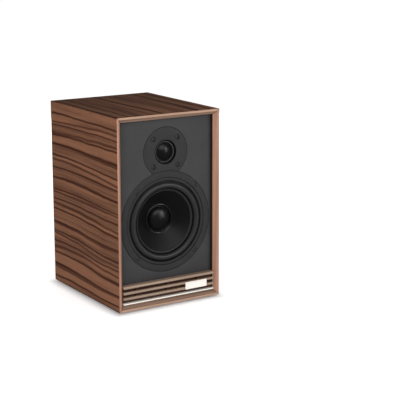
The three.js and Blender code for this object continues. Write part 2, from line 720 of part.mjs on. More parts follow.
// The board stands on the bottom panel on four moulded feet.
function buildCrossover() {
  const slab = box([-BOARD.halfX, BOARD.halfX], [BOARD.frontY, BOARD.rearY], [BOARD.bottomZ, boardTop]);
  const footInset = 6;
  const feet = [-1, 1].flatMap((side) => [BOARD.frontY + footInset, BOARD.rearY - footInset].map((y) => (
    rodZ(3.6, [innerBottom, BOARD.bottomZ + 0.5], side * (BOARD.halfX - footInset), y)
  )));
  addPiece('crossover_board', join(slab, ...feet), 'board');

  const partBottom = boardTop + FINE_GAP;
  const coil = new THREE.LatheGeometry([
    new THREE.Vector2(9, 0),
    new THREE.Vector2(21, 0),
    new THREE.Vector2(21, 20),
    new THREE.Vector2(9, 20),
    new THREE.Vector2(9, 0),
  ], HIDDEN_SIDES).rotateX(Math.PI / 2).translate(-22, -26, partBottom);
  addPiece('crossover_inductor', coil, 'copper');
  addPiece('crossover_capacitor', rodY(9, [-46, -8], 20, partBottom + 9, HIDDEN_SIDES), 'capacitor');
  addPiece('crossover_resistor', box([-39, -3], [16, 25], [partBottom, partBottom + 9]), 'ceramic');
}

function buildWiring() {
  const radius = 2.2;
  const boardEndZ = boardTop + radius + TOUCH_GAP;
  addPiece('input_cable', cable([
    [0, CUP.floorY - 26, CUP.z],
    [0, CUP.floorY - 28, CUP.z - 18],
    [0, 46, 40],
    [0, 34, boardEndZ],
  ], radius), 'cable');
  const tagY = baffleFront + 35;
  addPiece('woofer_cable', cable([
    [0, tagY, WOOFER.z - 60 - radius - TOUCH_GAP],
    [0, tagY - 1, 54],
    [0, -57, 40],
    [0, -47, boardEndZ],
  ], radius), 'cable');
  addPiece('tweeter_cable', cable([
    [0, baffleFront + 43 + radius + TOUCH_GAP, TWEETER.z],
    [-14, -36, 226],
    [-47, -18, 180],
    [-50, -8, 100],
    [-44, 0, 50],
    [-40, 4, boardEndZ],
  ], radius), 'cable');
}

// A blanket of wadding over both sides and the top, clear of everything else.
function buildWadding() {
  const thickness = 12;
  const outer = { x: innerX - 0.5, z: innerTop - 0.5 };
  const legBottom = 58;
  const section = outline([
    [-outer.x, legBottom],
    [-outer.x, outer.z],
    [outer.x, outer.z],
    [outer.x, legBottom],
    [outer.x - thickness, legBottom],
    [outer.x - thickness, outer.z - thickness],
    [-outer.x + thickness, outer.z - thickness],
    [-outer.x + thickness, legBottom],
  ]);
  const blanket = new THREE.ExtrudeGeometry(section, { depth: 110, bevelEnabled: false });
  addPiece('acoustic_wadding', blanket.rotateX(Math.PI / 2).translate(0, 60, 0), 'wadding');
}

buildCabinet();
buildFeet();
buildBaffle();
buildSlats();
buildBasket();
buildWooferSeals();
buildWooferMovingParts();
buildWooferSuspension();
buildWooferMotor();
buildTweeterFront();
buildTweeterMovingParts();
buildTweeterMotor();
buildPort();
buildTerminalCup();
buildBindingPosts();
buildCrossover();
buildWiring();
buildWadding();

export default speaker;
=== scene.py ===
"""The fine visual model of a two-way bookshelf speaker, built round its CAD frame.

Lengths handed to the shape helpers are millimetres, and everything is placed in the frame's
metres. The speaker's front faces -Y, and depths count backwards from the baffle's front.
"""

import json
import math

import bmesh
import bpy
from mathutils import Matrix, Vector, noise

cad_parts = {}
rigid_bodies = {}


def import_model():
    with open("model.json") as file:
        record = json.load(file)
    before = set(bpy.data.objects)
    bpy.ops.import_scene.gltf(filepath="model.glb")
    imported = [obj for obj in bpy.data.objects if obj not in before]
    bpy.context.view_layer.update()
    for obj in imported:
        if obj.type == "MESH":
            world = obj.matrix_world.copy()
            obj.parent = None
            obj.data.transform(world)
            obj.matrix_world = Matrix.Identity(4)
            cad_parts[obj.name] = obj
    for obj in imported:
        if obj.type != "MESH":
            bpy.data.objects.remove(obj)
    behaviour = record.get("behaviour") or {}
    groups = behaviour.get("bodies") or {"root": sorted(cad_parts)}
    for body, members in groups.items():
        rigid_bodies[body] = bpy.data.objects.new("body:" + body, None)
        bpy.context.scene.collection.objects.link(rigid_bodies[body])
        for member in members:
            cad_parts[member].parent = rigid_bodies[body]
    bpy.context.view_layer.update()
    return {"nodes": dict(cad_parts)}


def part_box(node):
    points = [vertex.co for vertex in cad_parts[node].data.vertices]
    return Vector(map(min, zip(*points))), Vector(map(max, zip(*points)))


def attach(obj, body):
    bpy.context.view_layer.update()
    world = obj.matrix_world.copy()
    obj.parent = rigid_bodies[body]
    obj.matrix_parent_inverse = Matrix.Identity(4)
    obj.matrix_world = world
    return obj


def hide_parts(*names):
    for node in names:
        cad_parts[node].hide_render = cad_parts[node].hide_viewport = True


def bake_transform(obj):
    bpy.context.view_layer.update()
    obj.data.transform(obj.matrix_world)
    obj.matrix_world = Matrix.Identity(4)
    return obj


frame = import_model()

bl_info = {
    "name": "Bookshelf Speaker",
    "version": (1, 0, 0),
    "blender": (4, 5, 0),
    "location": "3D View > Sidebar > Speaker",
    "description": "Builds a two-way bookshelf speaker piece by piece",
    "category": "Object",
}

MM = 0.001
ROUND_SIDES = 160        # sides of the large round pieces
TWEETER_SIDES = 128      # sides of the tweeter's parts behind its face
SMALL_SIDES = 64         # sides of the small round pieces
HEAD_SIDES = 48          # sides of the drivers' screws and of the recesses for their heads
HOLE_SIDES = 24          # sides of the screw holes
IN_FRONT = -5            # a depth that is clear of everything at the front
CABINET_BODY = "cabinet"
WOOFER_BODY = "woofer_diaphragm"
TWEETER_BODY = "tweeter_diaphragm"


# ------------------------------------------------------------------ places in the frame

def low(node):
    """Lowest corner of a CAD node."""
    return Vector(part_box(node)[0])


def high(node):
    """Highest corner of a CAD node."""
    return Vector(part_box(node)[1])


def middle(node):
    """Centre of a CAD node's box."""
    return (low(node) + high(node)) / 2


def out_mm(point, centre):
    """How far a point is from the line along Y through centre, in millimetres."""
    return math.hypot(point.x - centre.x, point.z - centre.z) / MM


def radius_mm(node, axis=2):
    """Half of a round CAD node's width, in millimetres."""
    return (high(node)[axis] - low(node)[axis]) / 2 / MM


BAFFLE_FRONT = low("front_baffle").y
WOOFER_CENTRE = Vector((middle("woofer_basket").x, BAFFLE_FRONT, middle("woofer_basket").z))
TWEETER_CENTRE = Vector((middle("tweeter_yoke").x, BAFFLE_FRONT, middle("tweeter_yoke").z))
PORT_CENTRE = Vector((middle("port_tube").x, 0, middle("port_tube").z))
CUP_CENTRE = middle("terminal_cup")
OUTER_LOW = Vector((low("left_side_panel").x, low("top_panel").y, low("bottom_panel").z))
OUTER_HIGH = Vector((high("right_side_panel").x, high("top_panel").y, high("top_panel").z))
OUTER_CENTRE = (OUTER_LOW + OUTER_HIGH) / 2
WOOFER_FLANGE = radius_mm("woofer_basket")
TWEETER_FLANGE = radius_mm("tweeter_faceplate", axis=0)
REBATE_GAP = 0.5         # gap round the drivers' flanges


def display_colour(red, green, blue):
    """A colour as the 0 to 255 values of a display, in Blender's linear light."""
    def linear(value):
        share = value / 255
        return share / 12.92 if share <= 0.04045 else ((share + 0.055) / 1.055) ** 2.4
    return linear(red), linear(green), linear(blue)


# ------------------------------------------------------------------ what a user may change

def length_property(name, description, millimetres):
    return bpy.props.FloatProperty(
        name=name, description=description, default=millimetres * MM, min=0.0,
        subtype="DISTANCE", unit="LENGTH", precision=4,
    )


def power_property(name, description, watts):
    return bpy.props.FloatProperty(
        name=name, description=description, default=watts, min=0.0, subtype="POWER", unit="POWER",
    )


def colour_property(name, description, colour):
    return bpy.props.FloatVectorProperty(
        name=name, description=description, default=display_colour(*colour),
        size=3, min=0.0, max=1.0, subtype="COLOR",
    )


class SpeakerSizes(bpy.types.PropertyGroup):
    """Sizes of details that the frame doesn't fix."""

    lip: length_property("Lip", "Width of the flat lip round the front", 3.4)
    bevel_depth: length_property("Bevel depth", "How far back the rim's bevel runs", 6.0)
    edge_round: length_property("Edge rounding", "Rounding of the wooden edges", 0.35)
    roll_rise: length_property("Surround rise", "Height of the woofer's rubber roll", 4.6)
    knob_flutes: bpy.props.IntProperty(
        name="Knob flutes", description="Grooves round each binding post knob", default=20, min=6,
    )
    spider_ripples: bpy.props.IntProperty(
        name="Spider ripples", description="Rings in the woofer's spider", default=6, min=2,
    )


class SpeakerColours(bpy.types.PropertyGroup):
    """Colours of the finishes."""

    veneer_light: colour_property("Veneer, light", "Pale figure of the veneer", (124, 83, 60))
    veneer_dark: colour_property("Veneer, dark", "Dark streaks of the veneer", (60, 27, 12))
    rim: colour_property("Rim", "Solid wood of the upright lips and bevels", (174, 129, 107))
    level_lip: colour_property("Level lip", "Solid wood of the level lips", (180, 144, 122))
    # The level bevels' darker colour is painted shade: they face up and down, away from the light from
    # the left.
    bevel: colour_property("Bevel", "Darker wood of the level bevels", (141, 112, 93))
    rail: colour_property("Rail", "Wood of the foot rail and slats", (163, 139, 120))
    baffle: colour_property("Baffle", "Satin paint of the baffle", (59, 58, 59))
    driver: colour_property("Driver", "Flanges of the drivers", (46, 46, 46))
    cone: colour_property("Cone", "Moulded cone and dust cap", (10, 10, 11))
    silver: colour_property("Silver", "Bright strip and plate", (252, 246, 238))
    gold: colour_property("Gold", "Binding posts and collars", (226, 184, 104))
    red: colour_property("Red", "The red knob", (168, 22, 24))


class SpeakerStage(bpy.types.PropertyGroup):
    """Light and camera."""

    key_power: power_property("Key light", "Power of the large light on the left", 18.0)
    top_power: power_property("Top light", "Power of the wide light above the front", 6.7)
    spot_power: power_property("Spot light", "Power of the tall light ahead on the right", 6.2)
    back_power: power_property("Back light", "Power of the soft light behind", 8.0)
    surroundings: bpy.props.FloatProperty(
        name="Surroundings", description="Brightness of the light from all round",
        default=0.42, min=0.0,
    )
    reflected_surroundings: bpy.props.FloatProperty(
        name="Reflected surroundings",
        description="Brightness of the room as it shows in glossy surfaces",
        default=0.08, min=0.0,
    )
    floor_glow: bpy.props.FloatProperty(
        name="Floor glow", description="Brightness that the floor gives out, as a light table does",
        default=0.64, min=0.0,
    )
    heading: bpy.props.FloatProperty(
        name="Heading", description="Way the camera looks, clockwise from straight ahead",
        default=math.radians(33.02), subtype="ANGLE", unit="ROTATION",
    )
    tilt: bpy.props.FloatProperty(
        name="Tilt", description="How far down the camera looks",
        default=math.radians(12.92), subtype="ANGLE", unit="ROTATION",
    )
    lens: bpy.props.FloatProperty(
        name="Lens", description="Focal length of the camera", default=109.09, min=10.0,
        subtype="DISTANCE_CAMERA",
    )
    camera_place: bpy.props.FloatVectorProperty(
        name="Camera place", description="Where the camera stands",
        default=(-0.9376, -1.6345, 0.5782), size=3, subtype="TRANSLATION", unit="LENGTH",
    )


# ------------------------------------------------------------------ materials

class Signal:
    """An output of a finish's nodes. Arithmetic on it adds Math nodes."""

    def __init__(self, finish, socket):
        self.finish = finish
        self.socket = socket

    def __add__(self, other):
        return self.finish.math("ADD", self, other)

    def __sub__(self, other):
        return self.finish.math("SUBTRACT", self, other)

    def __rsub__(self, other):
        return self.finish.math("SUBTRACT", other, self)

    def __mul__(self, other):
        return self.finish.math("MULTIPLY", self, other)

    __radd__ = __add__
    __rmul__ = __mul__

    def sine(self):
        return self.finish.math("SINE", self)

    def absolute(self):
        return self.finish.math("ABSOLUTE", self)

    def between(self, start, end):
        """0 below start and 1 above end, with a smooth rise between them."""
        return self.finish.add(
            "ShaderNodeMapRange",
            {"interpolation_type": "SMOOTHSTEP"},
            {"Value": self, "From Min": start, "From Max": end},
        )


class NodeBench:
    """A tree of nodes under construction."""

    def __init__(self, tree):
        self.tree = tree

    def add(self, kind, settings, sockets, output=0):
        """Adds a node with its settings, then its sockets' values or links."""
        node = self.tree.nodes.new(kind)
        for name, value in settings.items():
            if name == "stops":
                self.set_stops(node.color_ramp.elements, value)
            else:
                setattr(node, name, value)
        self.fill(node, sockets)
        return Signal(self, node.outputs[output])

    @staticmethod
    def set_stops(elements, stops):
        while len(elements) < len(stops):
            elements.new(1.0)
        for element, (position, colour) in zip(elements, stops):
            element.position = position
            element.color = (*colour, 1.0)

    def fill(self, node, sockets):
        for name, value in sockets.items():
            if isinstance(value, Signal):
                self.tree.links.new(value.socket, node.inputs[name])
            else:
                node.inputs[name].default_value = value


class Finish(NodeBench):
    """A material under construction: its nodes, and the shader that they feed."""

    def __init__(self, name):
        self.material = bpy.data.materials.new(f"{name}_finish")
        self.material.use_nodes = True
        super().__init__(self.material.node_tree)
        self.shader = self.tree.nodes["Principled BSDF"]

    def math(self, operation, *values):
        return self.add("ShaderNodeMath", {"operation": operation}, dict(enumerate(values)))

    def place(self):
        """Where a point lies on the piece at rest."""
        return self.add("ShaderNodeTexCoord", {}, {}, "Object")

    def axes(self, vector):
        """The three parts of a vector."""
        node = self.add("ShaderNodeSeparateXYZ", {}, {"Vector": vector}).socket.node
        return [Signal(self, output) for output in node.outputs]

    def scaled(self, vector, factors):
        """The vector with each part multiplied by its factor."""
        return self.add(
            "ShaderNodeVectorMath", {"operation": "MULTIPLY"}, {0: vector, 1: factors},
        )

    def noise(self, vector, scale, detail=2.0, rough=0.5):
        sockets = {"Vector": vector, "Scale": scale, "Detail": detail, "Roughness": rough}
        return self.add("ShaderNodeTexNoise", {}, sockets, "Fac")

    def mix(self, share, first, second, blend_type="MIX"):
        """The first colour, turning into the second as share goes from 0 to 1."""
        def colour(value):
            return value if isinstance(value, Signal) else (*value, 1.0)
        return self.add(
            "ShaderNodeMix",
            {"data_type": "RGBA", "blend_type": blend_type},
            {0: share, 6: colour(first), 7: colour(second)},
            output=2,
        )

    def bump(self, height, depth):
        """Relief whose height of 0 to 1 stands for depth metres."""
        return self.add("ShaderNodeBump", {}, {"Distance": depth, "Strength": 1.0, "Height": height})

    def surface(self, **sockets):
        """Sets the shader's sockets, named as in Blender with _ for a space."""
        named = {name.replace("_", " "): value for name, value in sockets.items()}
        for name in ("Base Color", "Emission Color", "Sheen Tint", "Coat Tint"):
            if name in named and not isinstance(named[name], Signal):
                named[name] = (*named[name], 1.0)
        self.fill(self.shader, named)
        return self.material


def shade_of(colour, factor):
    """A colour made lighter or darker by a factor."""
    return tuple(min(1.0, part * factor) for part in colour)


def walnut_veneer(colours):
    """Satin walnut with thin, gently waving dark streaks that run from front to back."""
    finish = Finish("walnut_veneer")
    place = finish.place()
    x, y, z = finish.axes(place)
    sway = finish.noise(finish.scaled(place, (1.2, 5.0, 1.2)), 1.0, 1.0) - 0.5
    ripple = finish.noise(finish.scaled(place, (11.0, 26.0, 11.0)), 1.0, 1.0) - 0.5
    shift = sway * 0.016 + ripple * 0.0026
    across = x * 0.9 + z + shift
    section = finish.add(
        "ShaderNodeCombineXYZ", {}, {"X": x + shift, "Y": y * 0.06, "Z": z + shift},
    )
    bunching = finish.noise(section, 24.0, 2.0, 0.5) - 0.5
    swell = finish.noise(finish.scaled(section, (60.0, 60.0, 60.0)), 1.0, 1.0)

    def streaks(pitch, offset, wander, low, high):
        """Dark lines at about one pitch apart, pushed to and fro by the slow bunching noise."""
        phase = (across * (math.tau / pitch)) + bunching * wander + offset
        return phase.sine().between(low, high)

    bold = streaks(0.0180, 0.0, 9.0, 0.76, 0.96)
    pairs = streaks(0.0245, 2.1, 13.0, 0.80, 0.97)
    fine = streaks(0.0072, 0.7, 11.0, 0.70, 1.0)
    fibres = finish.noise(finish.scaled(place, (1500.0, 26.0, 1500.0)), 1.0, 2.0, 0.6)
    pits = finish.noise(finish.scaled(place, (2600.0, 110.0, 2600.0)), 1.0, 1.0)
    pores = 1 - pits.between(0.30, 0.37)
    light = colours.veneer_light
    dark = colours.veneer_dark
    ground = finish.mix(swell.between(0.3, 0.7), shade_of(light, 0.74), shade_of(light, 1.18))
    lined = finish.mix(fine * swell.between(0.62, 0.38) * 0.55, ground, dark)
    paired = finish.mix(pairs * 0.72, lined, dark)
    streaked = finish.mix(bold * 0.88, paired, dark)
    fibred = finish.mix(fibres.between(0.35, 0.75) * 0.22, streaked, shade_of(dark, 0.9))
    colour = finish.mix(pores * 0.40, fibred, shade_of(dark, 0.45))
    relief = finish.bump(fibres * 0.6 - pores, 0.00005)
    return finish.surface(
        Base_Color=colour,
        Roughness=0.46 + fibres * 0.14,
        Normal=relief,
        Specular_IOR_Level=0.20,
    )


def plain_wood(name, colour, along, contrast=1.0):
    """Straight-grained solid wood whose grain runs along one axis."""
    finish = Finish(name)
    place = finish.place()
    stretch = [420.0, 420.0, 420.0]
    stretch[along] = 9.0
    fine = [2200.0, 2200.0, 2200.0]
    fine[along] = 60.0
    grain = finish.noise(finish.scaled(place, stretch), 1.0, 3.0, 0.55)
    fibres = finish.noise(finish.scaled(place, fine), 1.0, 2.0, 0.6)
    broad = finish.mix(grain.between(0.32, 0.68), shade_of(colour, 1 - 0.26 * contrast), colour)
    shade = finish.mix(fibres.between(0.4, 0.8) * 0.35 * contrast, broad, shade_of(colour, 0.55))
    return finish.surface(
        Base_Color=shade,
        Roughness=0.44 + fibres * 0.12,
        Normal=finish.bump(fibres, 0.00004),
        Specular_IOR_Level=0.4,
    )


def grained(name, colour, roughness, grain_size, depth, variation=0.10, **sockets):
    """Moulded plastic or paint: a fine even grain with a little variation in colour."""
    finish = Finish(name)
    place = finish.place()
    grain = finish.noise(place, 1 / grain_size, 3.0, 0.6)
    cloud = finish.noise(place, 30.0, 2.0, 0.5)
    tone = finish.mix(
        (grain * 0.5 + cloud * 0.5).between(0.35, 0.65),
        shade_of(colour, 1 - variation),
        shade_of(colour, 1 + variation),
    )
    return finish.surface(
        Base_Color=tone,
        Roughness=roughness - 0.04 + cloud * 0.08,
        Normal=finish.bump(grain, depth),
        **sockets,
    )


def brushed(name, colour, roughness, along, metallic=1.0):
    """Metal brushed along one axis."""
    finish = Finish(name)
    place = finish.place()
    stretch = [3000.0, 3000.0, 3000.0]
    stretch[along] = 40.0
    lines = finish.noise(finish.scaled(place, stretch), 1.0, 2.0, 0.6)
    tone = finish.mix(lines.between(0.3, 0.7), shade_of(colour, 0.92), colour)
    return finish.surface(
        Base_Color=tone,
        Roughness=roughness + lines * 0.12,
        Metallic=metallic,
        Normal=finish.bump(lines, 0.00001),
    )


def turned_metal(name, colour, roughness, centre):
    """Metal with the fine rings that a lathe leaves, round an axis along Y."""
    finish = Finish(name)
    place = finish.place()
    x, y, z = finish.axes(place)
    out = finish.math("SQRT", (x - centre.x) * (x - centre.x) + (z - centre.z) * (z - centre.z))
    rings = ((out + y * 0.3) * 9000.0).sine() * 0.5 + 0.5
    wear = finish.noise(place, 120.0, 3.0, 0.6)
    tone = finish.mix(wear.between(0.35, 0.7), shade_of(colour, 0.82), colour)
    return finish.surface(
        Base_Color=tone,
        Roughness=roughness + wear * 0.12,
        Metallic=1.0,
        Normal=finish.bump(rings, 0.000006),
    )


def cone_polymer(colours):
    """Satin moulded cone with faint rings."""
    finish = Finish("cone_polymer")
    place = finish.place()
    x, _, z = finish.axes(place)
    across = x - WOOFER_CENTRE.x
    up = z - WOOFER_CENTRE.z
    out = finish.math("SQRT", across * across + up * up)
    rings = (out * 5200.0).sine() * 0.5 + 0.5
    speckle = finish.noise(place, 2400.0, 2.0, 0.5)
    cloud = finish.noise(place, 45.0, 2.0, 0.5)
    colour = colours.cone
    tone = finish.mix(cloud.between(0.3, 0.7), shade_of(colour, 0.85), shade_of(colour, 1.15))
    return finish.surface(
        Base_Color=tone,
        Roughness=0.40 + speckle * 0.08,
        Normal=finish.bump(rings * 0.4 + speckle * 0.6, 0.00001),
        Specular_IOR_Level=0.40,
    )


def woven(name, colour, thread, roughness, depth, **sockets):
    """Cloth with a plain weave across X and Z."""
    finish = Finish(name)
    place = finish.place()
    x, _, z = finish.axes(place)
    turns = 2 * math.pi / thread
    warp_thread = (x * turns).sine()
    weft_thread = (z * turns).sine()
    weave = warp_thread * weft_thread * 0.5 + 0.5
    fuzz = finish.noise(place, 900.0, 3.0, 0.6)
    tone = finish.mix(weave * 0.6 + fuzz * 0.4, shade_of(colour, 0.72), shade_of(colour, 1.12))
    return finish.surface(
        Base_Color=tone,
        Roughness=roughness + fuzz * 0.1,
        Normal=finish.bump(weave * 0.7 + fuzz * 0.3, depth),
        **sockets,
    )


def winding(name, colour, pitch, axis):
    """Enamelled copper wire wound with one turn each pitch along an axis."""
    finish = Finish(name)
    parts = finish.axes(finish.place())
    turns = (parts[axis] * (2 * math.pi / pitch)).sine() * 0.5 + 0.5
    wear = finish.noise(finish.place(), 300.0, 2.0, 0.5)
    tone = finish.mix(turns.between(0.1, 0.9), shade_of(colour, 0.45), colour)
    return finish.surface(
        Base_Color=tone,
        Roughness=0.24 + wear * 0.14,
        Metallic=0.9,
        Normal=finish.bump(turns, pitch * 0.3),
    )


def circuit_board():
    """Green solder mask over copper tracks."""
    finish = Finish("circuit_board")
    place = finish.place()
    green = display_colour(34, 92, 56)
    cells = finish.add(
        "ShaderNodeTexVoronoi",
        {"feature": "DISTANCE_TO_EDGE", "distance": "EUCLIDEAN"},
        {"Vector": finish.scaled(place, (70.0, 70.0, 0.0)), "Scale": 1.0},
        "Distance",
    )
    tracks = 1 - cells.between(0.10, 0.14)
    grain = finish.noise(place, 900.0, 2.0, 0.5)
    tone = finish.mix(tracks * 0.8, shade_of(green, 1.5), shade_of(green, 0.7))
    return finish.surface(
        Base_Color=tone,
        Roughness=0.34 + grain * 0.12,
        Normal=finish.bump(tracks, 0.00004),
    )


def wadding_fibre():
    """Loose white polyester fibre."""
    finish = Finish("wadding_fibre")
    place = finish.place()
    strands = finish.noise(finish.scaled(place, (700.0, 1600.0, 500.0)), 1.0, 4.0, 0.7)
    clumps = finish.noise(place, 60.0, 3.0, 0.6)
    white = display_colour(222, 222, 216)
    tone = finish.mix(strands * 0.5 + clumps * 0.5, shade_of(white, 0.66), white)
    return finish.surface(
        Base_Color=tone,
        Roughness=0.92 + clumps * 0.06,
        Normal=finish.bump(strands * 0.4 + clumps * 0.6, 0.0012),
        Sheen_Weight=0.5,
    )


def stage_floor():
    """Pale matt floor that glows as a light table does. Under the cabinet and close by the glow is
    dimmed: a painted contact shadow.
    """
    finish = Finish("stage_floor")
    place = finish.place()
    x, y, _ = finish.axes(place)
    beside = finish.math("MAXIMUM", x.absolute() - OUTER_HIGH.x, 0.0)
    beyond = finish.math("MAXIMUM", y.absolute() - OUTER_HIGH.y, 0.0)
    distance = finish.math("SQRT", beside * beside + beyond * beyond)
    # The glow fades out at the cabinet's outline and under it: a painted contact shadow.
    painted_contact_shadow = distance.between(-0.006, 0.018)    # metres from the cabinet's outline
    far_away = distance.between(0.25, 1.5)
    glow_with_painted_shadow = finish.mix(painted_contact_shadow, (0.1, 0.1, 0.1), (0.86, 0.86, 0.86))
    glow = finish.mix(far_away, glow_with_painted_shadow, (1.0, 1.0, 1.0))
    mottle = finish.noise(place, 3.0, 2.0, 0.5)
    tone = finish.mix(mottle, (0.89, 0.89, 0.89), (0.91, 0.91, 0.91))
    return finish.surface(
        Base_Color=tone,
        Roughness=0.9,
        Specular_IOR_Level=0.1,
        Emission_Color=glow,
        Emission_Strength=bpy.context.scene.speaker_stage.floor_glow,
    )


FINISH_MAKERS = {
    "walnut_veneer": walnut_veneer,
    "rim_upright": lambda colours: plain_wood("rim_upright", colours.rim, along=2),
    "rim_level": lambda colours: plain_wood("rim_level", colours.level_lip, along=0),
    "edging_upright": lambda colours: plain_wood(
        "edging_upright", shade_of(colours.veneer_light, 0.8), along=2, contrast=2.0,
    ),
    "edging_level": lambda colours: plain_wood(
        "edging_level", shade_of(colours.veneer_light, 0.8), along=0, contrast=2.0,
    ),
    # The level bevels' darker wood is painted shade.
    "bevel_level_painted_shade": lambda colours: plain_wood("bevel_level_painted_shade", colours.bevel, along=0, contrast=1.6),
    "rail_wood": lambda colours: plain_wood("rail_wood", colours.rail, along=0, contrast=1.3),
    "baffle_paint": lambda colours: grained(
        "baffle_paint", colours.baffle, 0.56, 0.0007, 0.00004, variation=0.06,
        Specular_IOR_Level=0.25,
    ),
    "black_paint": lambda colours: grained(
        "black_paint", display_colour(44, 31, 22), 0.7, 0.0006, 0.00005,
    ),
    "carrier_stain": lambda colours: plain_wood(
        "carrier_stain", display_colour(74, 42, 25), along=0, contrast=1.4,
    ),
    "rear_paint": lambda colours: grained(
        "rear_paint", display_colour(47, 47, 48), 0.6, 0.0013, 0.00022,
    ),
    "bright_trim": lambda colours: brushed("bright_trim", colours.silver, 0.38, 0, metallic=0.15),
    "driver_frame": lambda colours: grained(
        "driver_frame", colours.driver, 0.48, 0.0005, 0.00005, variation=0.08,
        Specular_IOR_Level=0.25,
    ),
    "face_plastic": lambda colours: grained(
        "face_plastic", colours.driver, 0.46, 0.0004, 0.00003, variation=0.06,
        Specular_IOR_Level=0.25,
    ),
    # A glossier ring round the dome; its lighter colour than the faceplate is a painted highlight.
    "dome_ring_painted_highlight": lambda colours: grained(
        "dome_ring_painted_highlight", display_colour(66, 66, 68), 0.28, 0.0004, 0.00002, Specular_IOR_Level=0.6,
    ),
    # A near-black finish laid where recesses and grooves fall into shade: painted shade.
    "recess_black": lambda colours: grained(
        "recess_black", display_colour(12, 12, 12), 0.45, 0.0004, 0.00002,
        Specular_IOR_Level=0.20,
    ),
    "trim_rubber": lambda colours: grained(
        "trim_rubber", shade_of(colours.driver, 0.9), 0.50, 0.0006, 0.00003,
        Specular_IOR_Level=0.3,
    ),
    "surround_rubber": lambda colours: grained(
        "surround_rubber", shade_of(colours.driver, 0.85), 0.38, 0.0009, 0.00002,
        Specular_IOR_Level=0.5,
    ),
    "foot_rubber": lambda colours: grained(
        "foot_rubber", display_colour(30, 30, 30), 0.75, 0.0008, 0.00006,
    ),
    "gasket_foam": lambda colours: grained(
        "gasket_foam", display_colour(28, 28, 28), 0.9, 0.0006, 0.0002,
    ),
    "cone_polymer": cone_polymer,
    "cap_polymer": lambda colours: grained(
        "cap_polymer", colours.cone, 0.30, 0.0011, 0.00001, Specular_IOR_Level=0.5,
    ),
    "cap_bead": lambda colours: grained(
        "cap_bead", shade_of(colours.cone, 1.4), 0.24, 0.0011, 0.00001, Specular_IOR_Level=0.75,
    ),
    "dome_silk": lambda colours: woven(
        "dome_silk", display_colour(10, 10, 11), 0.0005, 0.34, 0.00002,
        Coat_Weight=0.45, Coat_Roughness=0.24, Specular_IOR_Level=0.3,
    ),
    "spider_cloth": lambda colours: woven(
        "spider_cloth", display_colour(190, 146, 74), 0.0011, 0.75, 0.00015,
    ),
    "coil_copper": lambda colours: winding("coil_copper", display_colour(214, 126, 78), 0.00035, 1),
    "inductor_copper": lambda colours: winding(
        "inductor_copper", display_colour(208, 118, 70), 0.0011, 2,
    ),
    "former_film": lambda colours: grained(
        "former_film", display_colour(104, 66, 28), 0.35, 0.0009, 0.00001,
    ),
    "zinc_woofer": lambda colours: turned_metal(
        "zinc_woofer", display_colour(186, 190, 196), 0.30, WOOFER_CENTRE,
    ),
    "zinc_tweeter": lambda colours: turned_metal(
        "zinc_tweeter", display_colour(186, 190, 196), 0.30, TWEETER_CENTRE,
    ),
    "ferrite": lambda colours: grained(
        "ferrite", display_colour(52, 52, 55), 0.72, 0.0012, 0.00012,
    ),
    "tag_board": lambda colours: grained(
        "tag_board", display_colour(158, 108, 52), 0.55, 0.0010, 0.00005,
    ),
    "black_screw": lambda colours: grained(
        "black_screw", display_colour(64, 64, 66), 0.40, 0.0004, 0.00001, Metallic=0.45,
    ),
    "gloss_plastic": lambda colours: grained(
        "gloss_plastic", display_colour(24, 24, 25), 0.26, 0.0016, 0.00001,
    ),
    "cup_plastic": lambda colours: grained(
        "cup_plastic", display_colour(30, 30, 31), 0.45, 0.0007, 0.00007,
    ),
    "gold_plate": lambda colours: brushed("gold_plate", colours.gold, 0.16, 1),
    "red_plastic": lambda colours: grained("red_plastic", colours.red, 0.22, 0.0018, 0.00001),
    "circuit_board": lambda colours: circuit_board(),
    "capacitor_film": lambda colours: grained(
        "capacitor_film", display_colour(214, 172, 40), 0.28, 0.0030, 0.00005,
    ),
    "resistor_ceramic": lambda colours: grained(
        "resistor_ceramic", display_colour(214, 210, 200), 0.85, 0.0008, 0.00010,
    ),
    "cable_jacket": lambda colours: grained(
        "cable_jacket", display_colour(140, 44, 38), 0.42, 0.0014, 0.00003,
    ),
    "wadding_fibre": lambda colours: wadding_fibre(),
    "stage_floor": lambda colours: stage_floor(),
}


def finish_named(name):
    """A finish, made the first time that it is asked for."""
    made = bpy.data.materials.get(f"{name}_finish")
    return made or FINISH_MAKERS[name](bpy.context.scene.speaker_colours)


# ------------------------------------------------------------------ shapes

def rounded(corners, closed=True, steps=5):
    """An outline of [across, depth] points. A corner with a third number is rounded by it."""
    points = []
    count = len(corners)
    for index, corner in enumerate(corners):
        at = Vector(corner[:2])
        at_end = not closed and index in (0, count - 1)
        if len(corner) == 2 or at_end:
            points.append(at)
            continue
        before = Vector(corners[index - 1][:2]) - at
        after = Vector(corners[(index + 1) % count][:2]) - at
        half = before.angle(after) / 2
        reach = min(corner[2] / math.tan(half), before.length * 0.45, after.length * 0.45)
        start = at + before.normalized() * reach
        end = at + after.normalized() * reach
        for step in range(steps + 1):
            share = step / steps
            points.append(start.lerp(at, share).lerp(at.lerp(end, share), share))
    return points


